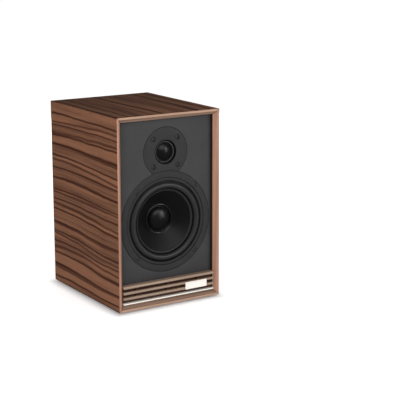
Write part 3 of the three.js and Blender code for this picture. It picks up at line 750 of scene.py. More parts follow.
def turned(profile, centre, sides=ROUND_SIDES, flutes=None):
    """A mesh made by turning [radius, depth] points round a line along Y through centre.

    flutes is (count, depth, from radius, from depth, to depth), for grooves along the outside.
    """
    mesh_points = bmesh.new()
    rings = []
    for point in profile:
        out, depth = point[0], point[1]
        if out < 1e-6:
            pole = mesh_points.verts.new(centre + Vector((0, depth * MM, 0)))
            rings.append([pole] * sides)
            continue
        ring = []
        for index in range(sides):
            angle = 2 * math.pi * index / sides
            radius = out
            if flutes and out > flutes[2] and flutes[3] <= depth <= flutes[4]:
                radius -= flutes[1] * (0.5 - 0.5 * math.cos(flutes[0] * angle)) ** 2
            offset = Vector((radius * math.cos(angle), depth, radius * math.sin(angle)))
            ring.append(mesh_points.verts.new(centre + offset * MM))
        rings.append(ring)
    open_ended = profile[0][0] < 1e-6 and profile[-1][0] < 1e-6
    last = len(rings) - 1 if open_ended else len(rings)
    for row in range(last):
        first, second = rings[row], rings[(row + 1) % len(rings)]
        for index in range(sides):
            after = (index + 1) % sides
            corners = [first[index], first[after], second[after], second[index]]
            mesh_points.faces.new(dict.fromkeys(corners))
    return mesh_from(mesh_points)


def slab(low_corner, high_corner, rounding=0.3, steps=3, corner=0.0):
    """A block with rounded edges. corner rounds the edges that run along Y by more."""
    block = bmesh.new()
    bmesh.ops.create_cube(block, size=1.0)
    size = high_corner - low_corner
    bmesh.ops.scale(block, vec=size, verts=block.verts)
    bmesh.ops.translate(block, vec=(low_corner + high_corner) / 2, verts=block.verts)
    if corner:
        long_edges = [
            edge for edge in block.edges
            if abs((edge.verts[0].co - edge.verts[1].co).y) > size.y / 2
        ]
        bmesh.ops.bevel(
            block, geom=long_edges, offset=corner * MM, segments=10, profile=0.5, affect="EDGES",
        )
        edges = [
            edge for edge in block.edges
            if abs((edge.verts[0].co - edge.verts[1].co).y) < size.y / 2
        ]
    else:
        edges = list(block.edges)
    if rounding:
        bmesh.ops.bevel(
            block, geom=edges, offset=rounding * MM, segments=steps, profile=0.5, affect="EDGES",
        )
    return mesh_from(block)


def mesh_from(shape):
    """A mesh from a bmesh, with its faces pointing out."""
    bmesh.ops.recalc_face_normals(shape, faces=shape.faces)
    mesh = bpy.data.meshes.new("shape")
    shape.to_mesh(mesh)
    shape.free()
    return mesh


def joined(meshes):
    """Several meshes as one."""
    whole = bmesh.new()
    for mesh in meshes:
        whole.from_mesh(mesh)
    result = bpy.data.meshes.new("shape")
    whole.to_mesh(result)
    whole.free()
    return result


def carved(mesh, cutters, operation="DIFFERENCE"):
    """The mesh with each cutter's mesh cut out of it, or joined to it."""
    scene = bpy.context.scene.collection.objects
    body = bpy.data.objects.new("body", mesh)
    scene.link(body)
    tools = []
    for cutter in cutters:
        tool = bpy.data.objects.new("tool", cutter)
        scene.link(tool)
        tools.append(tool)
        boolean = body.modifiers.new("boolean", "BOOLEAN")
        boolean.operation = operation
        boolean.solver = "EXACT"
        boolean.object = tool
    graph = bpy.context.evaluated_depsgraph_get()
    result = bpy.data.meshes.new_from_object(body.evaluated_get(graph))
    for thing in (body, *tools):
        bpy.data.objects.remove(thing)
    return result


def drill(radius, start, end, place, sides=SMALL_SIDES):
    """A plain cylinder along Y to cut with. start and end are depths in millimetres."""
    return turned([(0, start), (radius, start), (radius, end), (0, end)], place, sides)


def piece(name, mesh, finishes, body=CABINET_BODY, nodes=(), sharp=32):
    """Links a finished mesh as a piece that rides on a body and may stand for CAD nodes."""
    mesh.name = name
    mesh.shade_smooth()
    mesh.set_sharp_from_angle(angle=math.radians(sharp))
    thing = bpy.data.objects.new(name, mesh)
    bpy.context.scene.collection.objects.link(thing)
    for finish in (finishes if isinstance(finishes, (list, tuple)) else [finishes]):
        thing.data.materials.append(finish_named(finish))
    if body:
        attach(thing, body)
    if nodes:
        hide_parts(*nodes)
    return thing


def dress(node, finish, bevel=0.0, smooth_levels=0):
    """Gives a CAD node that stays its finish, and softens its edges with modifiers."""
    thing = frame["nodes"][node]
    thing.data.materials.clear()
    thing.data.materials.append(finish_named(finish))
    if bevel:
        modifier = thing.modifiers.new("edges", "BEVEL")
        modifier.width = bevel * MM
        modifier.segments = 3
        modifier.limit_method = "ANGLE"
        modifier.harden_normals = True
    if smooth_levels:
        modifier = thing.modifiers.new("smooth", "SUBSURF")
        modifier.levels = smooth_levels
        modifier.render_levels = smooth_levels
    return thing


# ------------------------------------------------------------------ cabinet

VENEER, RIM, INSIDE, BEVEL, EDGING = range(5)


def wall_section(sizes):
    """Corners of a wall's section as (distance in, y, material of the side that starts there)."""
    front = OUTER_LOW.y / MM
    back = OUTER_HIGH.y / MM
    opening = (low("front_baffle").x - OUTER_LOW.x) / MM - 0.15
    wall = (high("left_side_panel").x - low("left_side_panel").x) / MM
    baffle_back = high("front_baffle").y / MM
    rear_front = low("rear_panel").y / MM
    return [
        (0.0, front, RIM),
        (sizes.lip / MM, front, BEVEL),
        (opening, front + sizes.bevel_depth / MM, INSIDE),
        (opening, baffle_back, INSIDE),
        (wall, baffle_back, INSIDE),
        (wall, rear_front, INSIDE),
        (opening, rear_front, INSIDE),
        (opening, back, EDGING),
        (0.0, back, VENEER),
    ]


def mitred_wall(section, half_length, place):
    """A wall between two mitred ends. place turns distance in, y and distance along into a point."""
    mitre_gap = 0.15
    wall = bmesh.new()
    rings = []
    for end in (-1, 1):
        rings.append([
            wall.verts.new(place(inward, y, end * (half_length - inward - mitre_gap)) * MM)
            for inward, y, _ in section
        ])
    for ring in rings:
        wall.faces.new(ring).material_index = INSIDE
    count = len(section)
    for index, (_, _, material) in enumerate(section):
        after = (index + 1) % count
        corners = [rings[0][index], rings[0][after], rings[1][after], rings[1][index]]
        wall.faces.new(corners).material_index = material
    return mesh_from(wall)


def build_cabinet(sizes):
    section = wall_section(sizes)
    centre = OUTER_CENTRE / MM
    half = (OUTER_HIGH - OUTER_LOW) / 2 / MM

    def upright(side):
        return lambda inward, y, along: Vector((side * (half.x - inward), y, centre.z + along))

    def level(side):
        return lambda inward, y, along: Vector((along, y, centre.z + side * (half.z - inward)))

    upright_finishes = ["walnut_veneer", "rim_upright", "black_paint", "rim_upright", "edging_upright"]
    level_finishes = ["walnut_veneer", "rim_level", "black_paint", "bevel_level_painted_shade", "edging_level"]
    walls = {
        "left_side_panel": (half.z, upright(-1), upright_finishes),
        "right_side_panel": (half.z, upright(1), upright_finishes),
        "top_panel": (half.x, level(1), level_finishes),
        "bottom_panel": (half.x, level(-1), level_finishes),
    }
    for node, (half_length, place, finishes) in walls.items():
        mesh = mitred_wall(section, half_length, place)
        wall = piece(f"veneered_{node}", mesh, finishes, nodes=[node])
        edges = wall.modifiers.new("edges", "BEVEL")
        edges.width = sizes.edge_round
        edges.segments = 3
        edges.limit_method = "ANGLE"
        edges.harden_normals = True


def build_rear_panel():
    inside, outside = 80, 112    # depths that are clear of the panel
    half_width, half_height = 38.5 * MM, 26.5 * MM    # of the opening for the terminal cup
    port_hole = drill(32.3, inside, outside, PORT_CENTRE, ROUND_SIDES)
    cup_low = Vector((-half_width, inside * MM, CUP_CENTRE.z - half_height))
    cup_high = Vector((half_width, outside * MM, CUP_CENTRE.z + half_height))
    holes = [port_hole, slab(cup_low, cup_high, rounding=0)]
    for corner in cup_corners():
        place = Vector((corner.x, 0, corner.z))
        holes.append(drill(2.0, 91, outside, place, HOLE_SIDES))
    board = carved(slab(low("rear_panel"), high("rear_panel"), rounding=0.6), holes)
    piece("painted_rear_panel", board, "rear_paint", nodes=["rear_panel"])


def build_baffle():
    rebate_depth = 5.0
    woofer_opening, tweeter_opening = 62.5, 26.5
    board = slab(low("front_baffle"), high("front_baffle"), rounding=0.4)
    cutters = [
        drill(WOOFER_FLANGE + REBATE_GAP, IN_FRONT, rebate_depth, WOOFER_CENTRE, ROUND_SIDES),
        drill(TWEETER_FLANGE + REBATE_GAP, IN_FRONT, rebate_depth, TWEETER_CENTRE, ROUND_SIDES),
        drill(woofer_opening, IN_FRONT, 30, WOOFER_CENTRE, ROUND_SIDES),
        drill(tweeter_opening, IN_FRONT, 30, TWEETER_CENTRE, ROUND_SIDES),
    ]
    for driver, facts in SCREWS.items():
        for place in screw_places(driver):
            cutters.append(drill(facts["hole"], 0, facts["tip"] + 0.3, place, HOLE_SIDES))
    piece("painted_baffle", carved(board, cutters), "baffle_paint",
          nodes=["front_baffle"])


def build_foot_rail():
    for node in ("top_rail", "upper_slat", "lower_slat"):
        bar = slab(low(node), high(node), rounding=0.7, steps=4)
        piece(f"wooden_{node}", bar, "rail_wood", nodes=[node])
    cut_down = 1.1    # the bright strip is this much lower than its solid
    strip_top = high("accent_strip") - Vector((0, 0, cut_down * MM))
    strip = slab(low("accent_strip"), strip_top, rounding=0.35)
    piece("bright_accent_strip", strip, "bright_trim", nodes=["accent_strip"])
    carrier = dress("slat_carrier", "carrier_stain", bevel=0.3)


def build_badge():
    """The plate stays blank: a bevelled plate with a slightly sunk face."""
    low_corner, high_corner = low("badge_plate"), high("badge_plate")
    plate = slab(low_corner, high_corner, rounding=0.25, corner=0.8)
    border = Vector((0.9 * MM, 0, 0.9 * MM))
    sunk_low = Vector((low_corner.x, low_corner.y - 1 * MM, low_corner.z)) + border
    sunk_high = Vector((high_corner.x, low_corner.y + 0.2 * MM, high_corner.z)) - border
    face = carved(plate, [slab(sunk_low, sunk_high, rounding=0.1, corner=0.5)])
    piece("blank_badge_plate", face, "bright_trim", nodes=["badge_plate"])


def build_feet():
    for node in ("front_left_foot", "front_right_foot", "rear_left_foot", "rear_right_foot"):
        radius = radius_mm(node, axis=1)
        profile = rounded([(0, 0), (radius, 0, 0.6), (radius - 0.6, 3.0, 0.2), (0, 3.0)], closed=False)
        pad = turned(profile, Vector((0, 0, 0)), SMALL_SIDES)
        # The pad is turned round Y with its underside at depth 0, so it is stood up along Z.
        stand = Matrix.Translation((middle(node).x, middle(node).y, low(node).z))
        pad.transform(stand @ Matrix.Rotation(math.pi / 2, 4, "X"))
        pad.update()
        piece(f"rubber_{node}", pad, "foot_rubber", nodes=[node])


# ------------------------------------------------------------------ drivers

THREAD_DEPTH = 0.35
SCREWS = {
    "woofer": {
        "centre": WOOFER_CENTRE, "circle": 72.5, "head": 3.5, "front": -0.2, "rear": 3.1,
        "socket": 1.5, "shank": 2.0, "tip": 16, "hole": 2.3, "recess": 3.95,
    },
    "tweeter": {
        "centre": TWEETER_CENTRE, "circle": 30.0, "head": 2.9, "front": 0.7, "rear": 2.7,
        "socket": 1.3, "shank": 1.7, "tip": 14, "hole": 2.0, "recess": 3.9,
    },
}


def screw_places(driver):
    """Centres of a driver's four screws, in the order of their CAD nodes."""
    facts = SCREWS[driver]
    step = facts["circle"] * math.sqrt(0.5) * MM
    corners = [(-step, -step), (step, -step), (-step, step), (step, step)]
    return [facts["centre"] + Vector((x, 0, z)) for x, z in corners]


def flange_holes(driver):
    """Cutters for a driver's screws: a recess for each head and a hole through the flange."""
    facts = SCREWS[driver]
    cutters = []
    for place in screw_places(driver):
        cutters.append(drill(facts["recess"], IN_FRONT, facts["rear"], place, HEAD_SIDES))
        cutters.append(drill(facts["hole"], 0, 8, place, HOLE_SIDES))
    return cutters


def thread_profile(shank, start, tip, pitch=1.0):
    """Corners of a screw thread from start to a pointed tip."""
    root, point = shank - THREAD_DEPTH, tip - 2.5
    corners = []
    depth = start
    while depth < point:
        corners += [(root, depth), (shank, depth + pitch / 2)]
        depth += pitch
    return [*corners, (root, point), (0, tip)]


def build_driver_screws(driver):
    facts = SCREWS[driver]
    head, front, rear = facts["head"], facts["front"], facts["rear"]
    shank, tip, across = facts["shank"], facts["tip"], facts["socket"]
    for index, place in enumerate(screw_places(driver)):
        profile = rounded([
            (0, front), (head, front, 0.6), (head, rear), (shank - THREAD_DEPTH, rear),
        ], closed=False)
        body = turned([*profile, *thread_profile(shank, rear + 0.2, tip)], place, HEAD_SIDES)
        socket = turned([(0, -1), (across, -1), (across, front + 1.4), (0, front + 1.8)], place, 6)
        name = f"{driver}_screw_{index + 1}"
        piece(f"socket_{name}", carved(body, [socket]), "black_screw", nodes=[name])


def build_woofer_frame():
    profile = rounded([
        (WOOFER_FLANGE, -0.5, 0.9), (WOOFER_FLANGE, 4.2, 0.3), (61.2, 4.2, 0.3), (61.2, 8.0, 1.0),
        (41.5, 32.0, 1.5), (40.0, 38.8, 1.0), (16.0, 38.8, 0.5), (16.0, 36.4, 0.5), (33.0, 36.4, 0.5),
        (33.0, 33.2, 0.3), (38.4, 33.2, 0.5), (58.5, 8.0, 1.0), (59.4, 2.7, 0.3), (68.6, 2.7, 0.2),
        (68.6, -0.5, 0.5),
    ])
    frame_mesh = turned(profile, WOOFER_CENTRE)
    cutters = []
    for index in range(6):
        window = slab(Vector((32, 10, -17)) * MM, Vector((70, 30.5, 17)) * MM, rounding=3, steps=4)
        turn = Matrix.Rotation(math.pi * index / 3, 4, "Y")
        window.transform(Matrix.Translation(WOOFER_CENTRE) @ turn)
        cutters.append(window)
    cutters += flange_holes("woofer")
    piece("cast_woofer_basket", carved(frame_mesh, cutters), "driver_frame",
          nodes=["woofer_basket"])

    trim = turned(rounded([
        (63.6, 1.1, 0.4), (64.3, 0.2, 0.5), (67.9, 0.2, 0.5), (68.1, 2.3), (63.6, 2.3),
    ]), WOOFER_CENTRE)
    piece("woofer_clamp_ring", trim, "trim_rubber",
          nodes=["woofer_trim_ring"])

    gasket = turned(rounded([
        (63.0, 4.3, 0.1), (78.2, 4.3, 0.1), (78.2, 4.9, 0.1), (63.0, 4.9, 0.1),
    ]), WOOFER_CENTRE)
    holes = [
        drill(SCREWS["woofer"]["hole"], 0, 8, place, HOLE_SIDES) for place in screw_places("woofer")
    ]
    piece("woofer_foam_gasket", carved(gasket, holes), "gasket_foam",
          nodes=["woofer_gasket"])


CONE_EDGE = (49.6, 3.2)
CONE_NECK = (13.3, 27.8)
CAP_RADIUS = 21.9


def cone_depth(radius):
    """Depth of the cone's front at a radius."""
    share = (CONE_EDGE[0] - radius) / (CONE_EDGE[0] - CONE_NECK[0])
    bulge = -0.7 * math.sin(math.pi * share)
    return CONE_EDGE[1] + (CONE_NECK[1] - CONE_EDGE[1]) * share + bulge


def dome_points(rim_radius, rim_depth, rise, steps=24):
    """Points of a shallow dome from its middle to its rim."""
    sphere = (rim_radius ** 2 + rise ** 2) / (2 * rise)
    rim_angle = math.asin(rim_radius / sphere)
    return [
        (sphere * math.sin(rim_angle * step / steps),
         rim_depth - rise + sphere * (1 - math.cos(rim_angle * step / steps)))
        for step in range(steps + 1)
    ]


def roll_points(inner, outer, depth, rise, steps=24):
    """Points of a half roll from an inner to an outer radius."""
    half = (outer - inner) / 2
    return [
        (inner + half - half * math.cos(math.pi * step / steps),
         depth - rise * math.sin(math.pi * step / steps))
        for step in range(steps + 1)
    ]


def build_woofer_cone():
    steps = 20
    radii = [CONE_EDGE[0] + (CONE_NECK[0] - CONE_EDGE[0]) * step / steps for step in range(steps + 1)]
    front = [(radius, cone_depth(radius)) for radius in radii]
    back = [(radius, depth + 1.2) for radius, depth in reversed(front)]
    piece("moulded_woofer_cone", turned([*front, *back], WOOFER_CENTRE), "cone_polymer",
          body=WOOFER_BODY, nodes=["woofer_cone"])

    # The cap is a steep-sided dome. A raised ring with a trough inside it joins the dome to the cone.
    dome_circle, dome_rise = 18.6, 9.4
    ring_circle, ring_half = 22.4, 1.5
    trough = cone_depth(CAP_RADIUS) + 0.9
    dome = [
        (dome_circle * math.sin(math.radians(turn)),
         trough - dome_rise * math.cos(math.radians(turn)) ** 0.8)
        for turn in range(0, 86, 5)
    ]
    ring_top = cone_depth(ring_circle) - 0.2
    ring = [
        (ring_circle - ring_half * math.cos(math.radians(turn)),
         ring_top - ring_half * math.sin(math.radians(turn)))
        for turn in range(0, 181, 15)
    ]
    # The underside lies just in front of the cone, then follows the inside of the dome.
    seat_out = ring_circle + ring_half + 0.3
    seat_in = dome_circle + 1.6
    underside = [
        (seat_out, cone_depth(seat_out) - 0.06), (seat_in, cone_depth(seat_in) - 0.06),
        (dome_circle - 1.2, trough + 0.4),
        *[(radius * 0.93, depth + 0.6) for radius, depth in reversed(dome[:-1])],
    ]
    cap = turned(
        [*dome, (dome_circle, trough), (ring_circle - ring_half, trough), *ring, *underside],
        WOOFER_CENTRE,
    )
    for face in cap.polygons:
        on_ring = out_mm(face.center, WOOFER_CENTRE) > ring_circle - ring_half + 0.05
        face.material_index = 1 if on_ring else 0
    piece("domed_dust_cap", cap, ["cap_polymer", "cap_bead"], body=WOOFER_BODY,
          nodes=["woofer_dust_cap"])


def flex_between(thing):
    """Bakes a ring's place into its mesh; the ring is left on no body."""
    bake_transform(thing)


def build_woofer_surround(sizes):
    inner, outer, depth, thickness = 52.2, 60.9, 2.3, 0.7
    rise = sizes.roll_rise / MM
    front = roll_points(inner, outer, depth, rise)
    back = roll_points(inner + thickness, outer - thickness, depth + 0.4, rise - thickness + 0.4)
    lip_in, lip_out = 47.0, 48.8
    groove_in, groove_depth = 49.8, 4.4
    profile = [
        (lip_in, cone_depth(lip_in) - 0.3), (lip_in + 0.3, cone_depth(lip_in) - 0.75),
        (lip_out - 0.4, cone_depth(lip_out) - 0.95), (lip_out, cone_depth(lip_out) - 0.5),
        (groove_in, 3.0), (groove_in + 0.1, groove_depth), (inner - 0.4, groove_depth), *front,
        (outer + 0.2, depth + 0.1), (68.2, depth + 0.1), (68.2, depth + 0.36),
        (outer - thickness, depth + 0.36), *reversed(back), (inner + 0.6, groove_depth + 0.7),
        (groove_in - 0.1, groove_depth + 0.7), (groove_in - 0.1, 3.12),
        (lip_in, cone_depth(lip_in) - 0.05),
    ]
    mesh = turned(profile, WOOFER_CENTRE)
    for face in mesh.polygons:
        out = out_mm(face.center, WOOFER_CENTRE)
        # Faces in the grooves on both sides of the roll and on its flat flange get the near-black
        # finish: painted shade.
        in_painted_groove_shade = lip_out + 0.5 < out < inner - 0.05 or outer + 0.05 < out
        face.material_index = 1 if in_painted_groove_shade else 0
    ring = piece("rubber_woofer_surround", mesh, ["surround_rubber", "recess_black"],
                 body=None, nodes=["woofer_surround"])
    flex_between(ring)


def build_woofer_spider(sizes):
    inner, outer, depth = 13.3, 38.0, 32.3
    steps = sizes.spider_ripples * 12

    def side(offset):
        points = []
        for step in range(steps + 1):
            share = step / steps
            swell = math.sin(math.pi * min(1.0, share * 8)) if share < 1 / 16 else 1.0
            wave = 0.5 - 0.5 * math.cos(2 * math.pi * sizes.spider_ripples * share)
            points.append((inner + (outer - inner) * share, depth + offset - 0.9 * wave * swell))
        return points

    disc = turned([*side(0), *reversed(side(0.5))], WOOFER_CENTRE)
    ring = piece("rippled_woofer_spider", disc, "spider_cloth", body=None,
                 nodes=["woofer_spider"])
    flex_between(ring)


def build_woofer_motor():
    coil = turned(rounded([
        (12.6, 25.0), (13.1, 25.0), (13.1, 36.5), (13.8, 36.5, 0.2), (13.8, 47.5, 0.2), (12.6, 47.5),
    ]), WOOFER_CENTRE, ROUND_SIDES)
    for face in coil.polygons:
        face.material_index = 1 if (face.center.y - BAFFLE_FRONT) / MM > 36.4 else 0
    piece("woofer_coil_on_former", coil, ["former_film", "coil_copper"], body=WOOFER_BODY,
          nodes=["woofer_voice_coil"])
    rings = {
        "woofer_top_plate": ("zinc_woofer", "zinc_steel", [
            (14.3, 39.0, 0.2), (36.0, 39.0, 0.6), (36.0, 44.0, 0.6), (14.3, 44.0, 0.2)]),
        "woofer_magnet": ("ferrite", "ferrite", [
            (22.0, 44.2, 0.5), (41.0, 44.2, 1.0), (41.0, 58.0, 1.0), (22.0, 58.0, 0.5)]),
        "woofer_yoke": ("zinc_woofer", "zinc_steel", [
            (4.5, 38.5, 0.4), (12.1, 38.5, 0.5), (12.1, 58.2, 1.0), (36.5, 58.2, 0.5),
            (36.5, 63.5, 1.2), (4.5, 63.5, 0.8)]),
    }
    for node, (finish, slot, corners) in rings.items():
        piece(f"turned_{node}", turned(rounded(corners), WOOFER_CENTRE), finish,
              nodes=[node])
    dress("woofer_terminal_strip", "tag_board", bevel=0.2)


def build_tweeter_face():
    profile = rounded([
        (15.2, 2.2, 0.3), (16.0, 2.2, 0.3), (16.3, 3.0, 0.3), (18.5, 3.0, 0.3), (18.9, -0.5, 0.35),
        (TWEETER_FLANGE, -0.5, 0.8), (TWEETER_FLANGE, 4.2, 0.3), (15.2, 4.2),
    ])
    notch = drill(WOOFER_FLANGE + REBATE_GAP, IN_FRONT, 8, WOOFER_CENTRE, ROUND_SIDES * 2)
    plate = carved(turned(profile, TWEETER_CENTRE), [notch, *flange_holes("tweeter")])
    step_ring, recess_ring = 16.1, 18.95    # radii where the finish changes
    # Sunk faces between these radii get the near-black finish, which is painted shade in the recess;
    # sunk faces inside the step get the lighter ring finish, which is a painted highlight.
    for face in plate.polygons:
        out = out_mm(face.center, TWEETER_CENTRE)
        sunk = face.center.y > TWEETER_CENTRE.y
        if sunk and step_ring < out < recess_ring:
            face.material_index = 1
        elif sunk and out <= step_ring:
            face.material_index = 2
    piece("notched_tweeter_faceplate", plate, ["face_plastic", "recess_black", "dome_ring_painted_highlight"],
          nodes=["tweeter_faceplate"])


def build_tweeter_dome():
    outer = dome_points(12.4, 3.2, 4.2)
    inner = dome_points(11.9, 3.2, 3.7)
    piece("silk_tweeter_dome", turned([*outer, *reversed(inner)], TWEETER_CENTRE, ROUND_SIDES),
          "dome_silk", body=TWEETER_BODY, nodes=["tweeter_dome"])
    coil = turned([
        (11.9, 3.4), (12.3, 3.4), (12.3, 5.2), (12.8, 5.2), (12.8, 9.0), (11.9, 9.0),
    ], TWEETER_CENTRE, 96)
    for face in coil.polygons:
        face.material_index = 1 if (face.center.y - BAFFLE_FRONT) / MM > 5.1 else 0
    piece("tweeter_coil_on_former", coil, ["former_film", "coil_copper"], body=TWEETER_BODY,
          nodes=["tweeter_voice_coil"])
    profile = [
        (12.45, 3.2), *roll_points(13.0, 14.9, 3.2, 0.9, 14), (14.9, 4.4), (18.0, 4.4), (18.0, 4.7),
        (14.5, 4.7), (14.5, 3.6), (12.45, 3.6),
    ]
    # The roll and the trough round the dome take the near-black finish: painted shade.
    ring = piece("tweeter_roll", turned(profile, TWEETER_CENTRE, TWEETER_SIDES), "recess_black",
                 body=None, nodes=["tweeter_surround"])
    flex_between(ring)


def build_tweeter_motor():
    rings = {
        "tweeter_top_plate": ("zinc_tweeter", "zinc_steel", [
            (13.3, 4.9, 0.2), (24.0, 4.9, 0.4), (24.0, 7.4, 0.4), (13.3, 7.4, 0.2)]),
        "tweeter_magnet": ("ferrite", "ferrite", [
            (15.5, 7.6, 0.3), (23.0, 7.6, 0.6), (23.0, 14.0, 0.6), (15.5, 14.0, 0.3)]),
        "tweeter_yoke": ("zinc_tweeter", "zinc_steel", [
            (3.5, 4.2, 0.3), (11.3, 4.2, 0.4), (11.3, 14.2, 0.6), (24.0, 14.2, 0.4),
            (24.0, 17.2, 0.8), (3.5, 17.2, 0.5)]),
    }
    for node, (finish, slot, corners) in rings.items():
        piece(f"turned_{node}", turned(rounded(corners), TWEETER_CENTRE, TWEETER_SIDES), finish,
              nodes=[node])
    chamber = turned(rounded([
        (0, 33.0), (22.0, 33.0, 2.0), (22.0, 17.4), (20.5, 17.4), (20.5, 31.5, 1.0), (0, 31.5),
    ], closed=False), TWEETER_CENTRE, TWEETER_SIDES)
    block = slab(
        TWEETER_CENTRE + Vector((-8, 32.8, -3)) * MM,
        TWEETER_CENTRE + Vector((8, 36.0, 3)) * MM, rounding=0.4,
    )
    tags = [
        slab(TWEETER_CENTRE + Vector((x - 1.4, 35.5, -0.4)) * MM,
             TWEETER_CENTRE + Vector((x + 1.4, 43.0, 0.4)) * MM, rounding=0.15)
        for x in (-5, 5)
    ]
    for tag in tags:
        for face in tag.polygons:
            face.material_index = 1
    piece("tweeter_chamber_and_tags", joined([chamber, block, *tags]), ["gloss_plastic", "gold_plate"],
          nodes=["tweeter_rear_chamber"])


# ------------------------------------------------------------------ rear

def cup_corners():
    """The terminal cup's four screw places, as offsets in X and places in Z."""
    step_x = (high("terminal_cup").x - low("terminal_cup").x) / 2 - 6 * MM
    step_z = (high("terminal_cup").z - low("terminal_cup").z) / 2 - 6 * MM
    return [
        Vector((sign_x * step_x, 0, CUP_CENTRE.z + sign_z * step_z))
        for sign_x in (-1, 1) for sign_z in (-1, 1)
    ]


def build_port():
    bore, outer = 22.5, 24.7
    back = high("port_tube").y / MM
    panel_back = high("rear_panel").y / MM
    flare_depth, flare_width = 12.0, 8.0
    steps = 16
    flare = []
    for step in range(steps + 1):
        angle = math.pi / 2 * step / steps
        flare.append((
            bore + flare_width * (1 - math.cos(angle)),
            back - flare_depth * (1 - math.sin(angle)),
        ))
    mouth = [
        *flare, (35.6, back), (36.5, back - 0.25), (37.0, back - 1.0), (37.0, panel_back),
        (32.0, panel_back), (32.0, panel_back - flare_depth), (outer, panel_back - flare_depth - 8),
        (outer, 1.0), (outer - 0.4, 0.2), (outer - 1.1, 0.0), (bore + 0.5, 0.3), (bore, 1.0),
    ]
    piece("flared_port_tube", turned(mouth, PORT_CENTRE), "gloss_plastic",
          nodes=["port_tube"])


def build_terminal_cup():
    low_corner, high_corner = low("terminal_cup"), high("terminal_cup")
    panel_back = high("rear_panel").y
    flange_low = Vector((low_corner.x, panel_back, low_corner.z))
    flange = slab(flange_low, high_corner, rounding=0.8, corner=6)
    body = slab(
        Vector((-38.2 * MM, low_corner.y, CUP_CENTRE.z - 26.2 * MM)),
        Vector((38.2 * MM, panel_back + 1 * MM, CUP_CENTRE.z + 26.2 * MM)), rounding=0.5, corner=3,
    )
    floor_y = low_corner.y + 2.2 * MM
    cavity = slab(
        Vector((-36 * MM, floor_y, CUP_CENTRE.z - 24 * MM)),
        Vector((36 * MM, high_corner.y + 10 * MM, CUP_CENTRE.z + 24 * MM)), rounding=1.0, corner=3,
    )
    cutters = [cavity]
    for colour in ("red", "black"):
        place = Vector((middle(f"{colour}_post").x, 0, CUP_CENTRE.z))
        cutters.append(drill(3.3, 70, 90, place, 48))
    for corner in cup_corners():
        cutters.append(drill(2.0, 95, 112, corner, 32))
    shell = carved(carved(flange, [body], "UNION"), cutters)
    piece("moulded_terminal_cup", shell, "cup_plastic",
          nodes=["terminal_cup"])

    seat = high_corner.y / MM
    for index, corner in enumerate(cup_corners()):
        # A pan head with a cross recess: its top stays inside the cabinet's back edges.
        head = turned([(0, seat + 1.5), *[
            (3.4 * math.sin(angle), seat + 1.5 * math.cos(angle))
            for angle in (math.pi / 2 * step / 8 for step in range(1, 9))
        ], (1.2, seat + 0.02), (1.2, seat - 12), (0, seat - 13.5)], corner, 48)
        slots = [
            slab(corner + Vector((-wide, seat + 0.6, -high_half)) * MM,
                 corner + Vector((wide, seat + 2.5, high_half)) * MM, rounding=0.1)
            for wide, high_half in ((1.9, 0.4), (0.4, 1.9))
        ]
        piece(f"cup_screw_{index + 1}", carved(head, slots), "black_screw")


def build_binding_posts(sizes):
    for colour, plastic, slot in (
        ("red", "red_plastic", "red_plastic"), ("black", "gloss_plastic", "gloss_black_plastic"),
    ):
        node = f"{colour}_post"
        place = Vector((middle(node).x, 0, CUP_CENTRE.z))
        floor = (low("terminal_cup").y + 2.2 * MM) / MM
        end = high(node).y / MM
        start = low(node).y / MM
        rod = [(0, start), (2.6, start), (3.0, start + 0.5)]
        depth = start + 1.0
        while depth < end - 1.0:
            rod += [(3.0, depth), (2.7, depth + 0.4)]
            depth += 0.8
        rod += [(3.0, end - 0.4), (2.6, end), (2.1, end), (2.1, end - 12), (0, end - 12.5)]
        hexagon = turned(rounded([
            (2.9, floor + 0.2), (6.5, floor + 0.2, 0.4), (6.5, floor + 2.2, 0.4), (2.9, floor + 2.2),
        ]), place, 6)
        nut = turned(rounded([
            (2.9, floor - 6.4), (5.8, floor - 6.4, 0.4), (5.8, floor - 2.4, 0.4), (2.9, floor - 2.4),
        ]), place, 6)
        piece(f"threaded_{node}", joined([turned(rod, place, SMALL_SIDES), hexagon, nut]),
              "gold_plate", nodes=[node])

        node = f"{colour}_collar"
        first, last = low(node).y / MM, high(node).y / MM
        collar = turned(rounded([
            (3.3, first, 0.1), (7.5, first, 0.4), (7.5, last, 0.4), (3.3, last, 0.1),
        ]), place, 240, flutes=(60, 0.25, 7.0, first + 0.3, last - 0.3))
        piece(f"knurled_{node}", collar, "gold_plate", body=f"{colour}_collar_body",
              nodes=[node])

        node = f"{colour}_knob"
        first, last = low(node).y / MM, high(node).y / MM
        grip = [first + 3.4 + step * (last - first - 6.2) / 8 for step in range(9)]
        knob = turned([
            (3.3, first + 0.3), (3.6, first), (7.2, first), (7.8, first + 0.2), (8.1, first + 0.7),
            (8.2, first + 1.2), (8.2, first + 2.2), (7.9, first + 2.6), (7.9, first + 3.0),
            *[(8.2, depth) for depth in grip],
            (8.2, last - 2.2), (8.1, last - 1.4), (7.6, last - 0.7), (6.8, last - 0.2), (6.0, last),
            (4.4, last), (3.6, last - 0.3), (3.3, last - 1.0),
        ], place, 240, flutes=(sizes.knob_flutes, 1.1, 8.0, grip[1] - 0.01, grip[7] + 0.01))
        piece(f"fluted_{node}", knob, plastic, body=f"{colour}_knob_body", nodes=[node])


# ------------------------------------------------------------------ inside

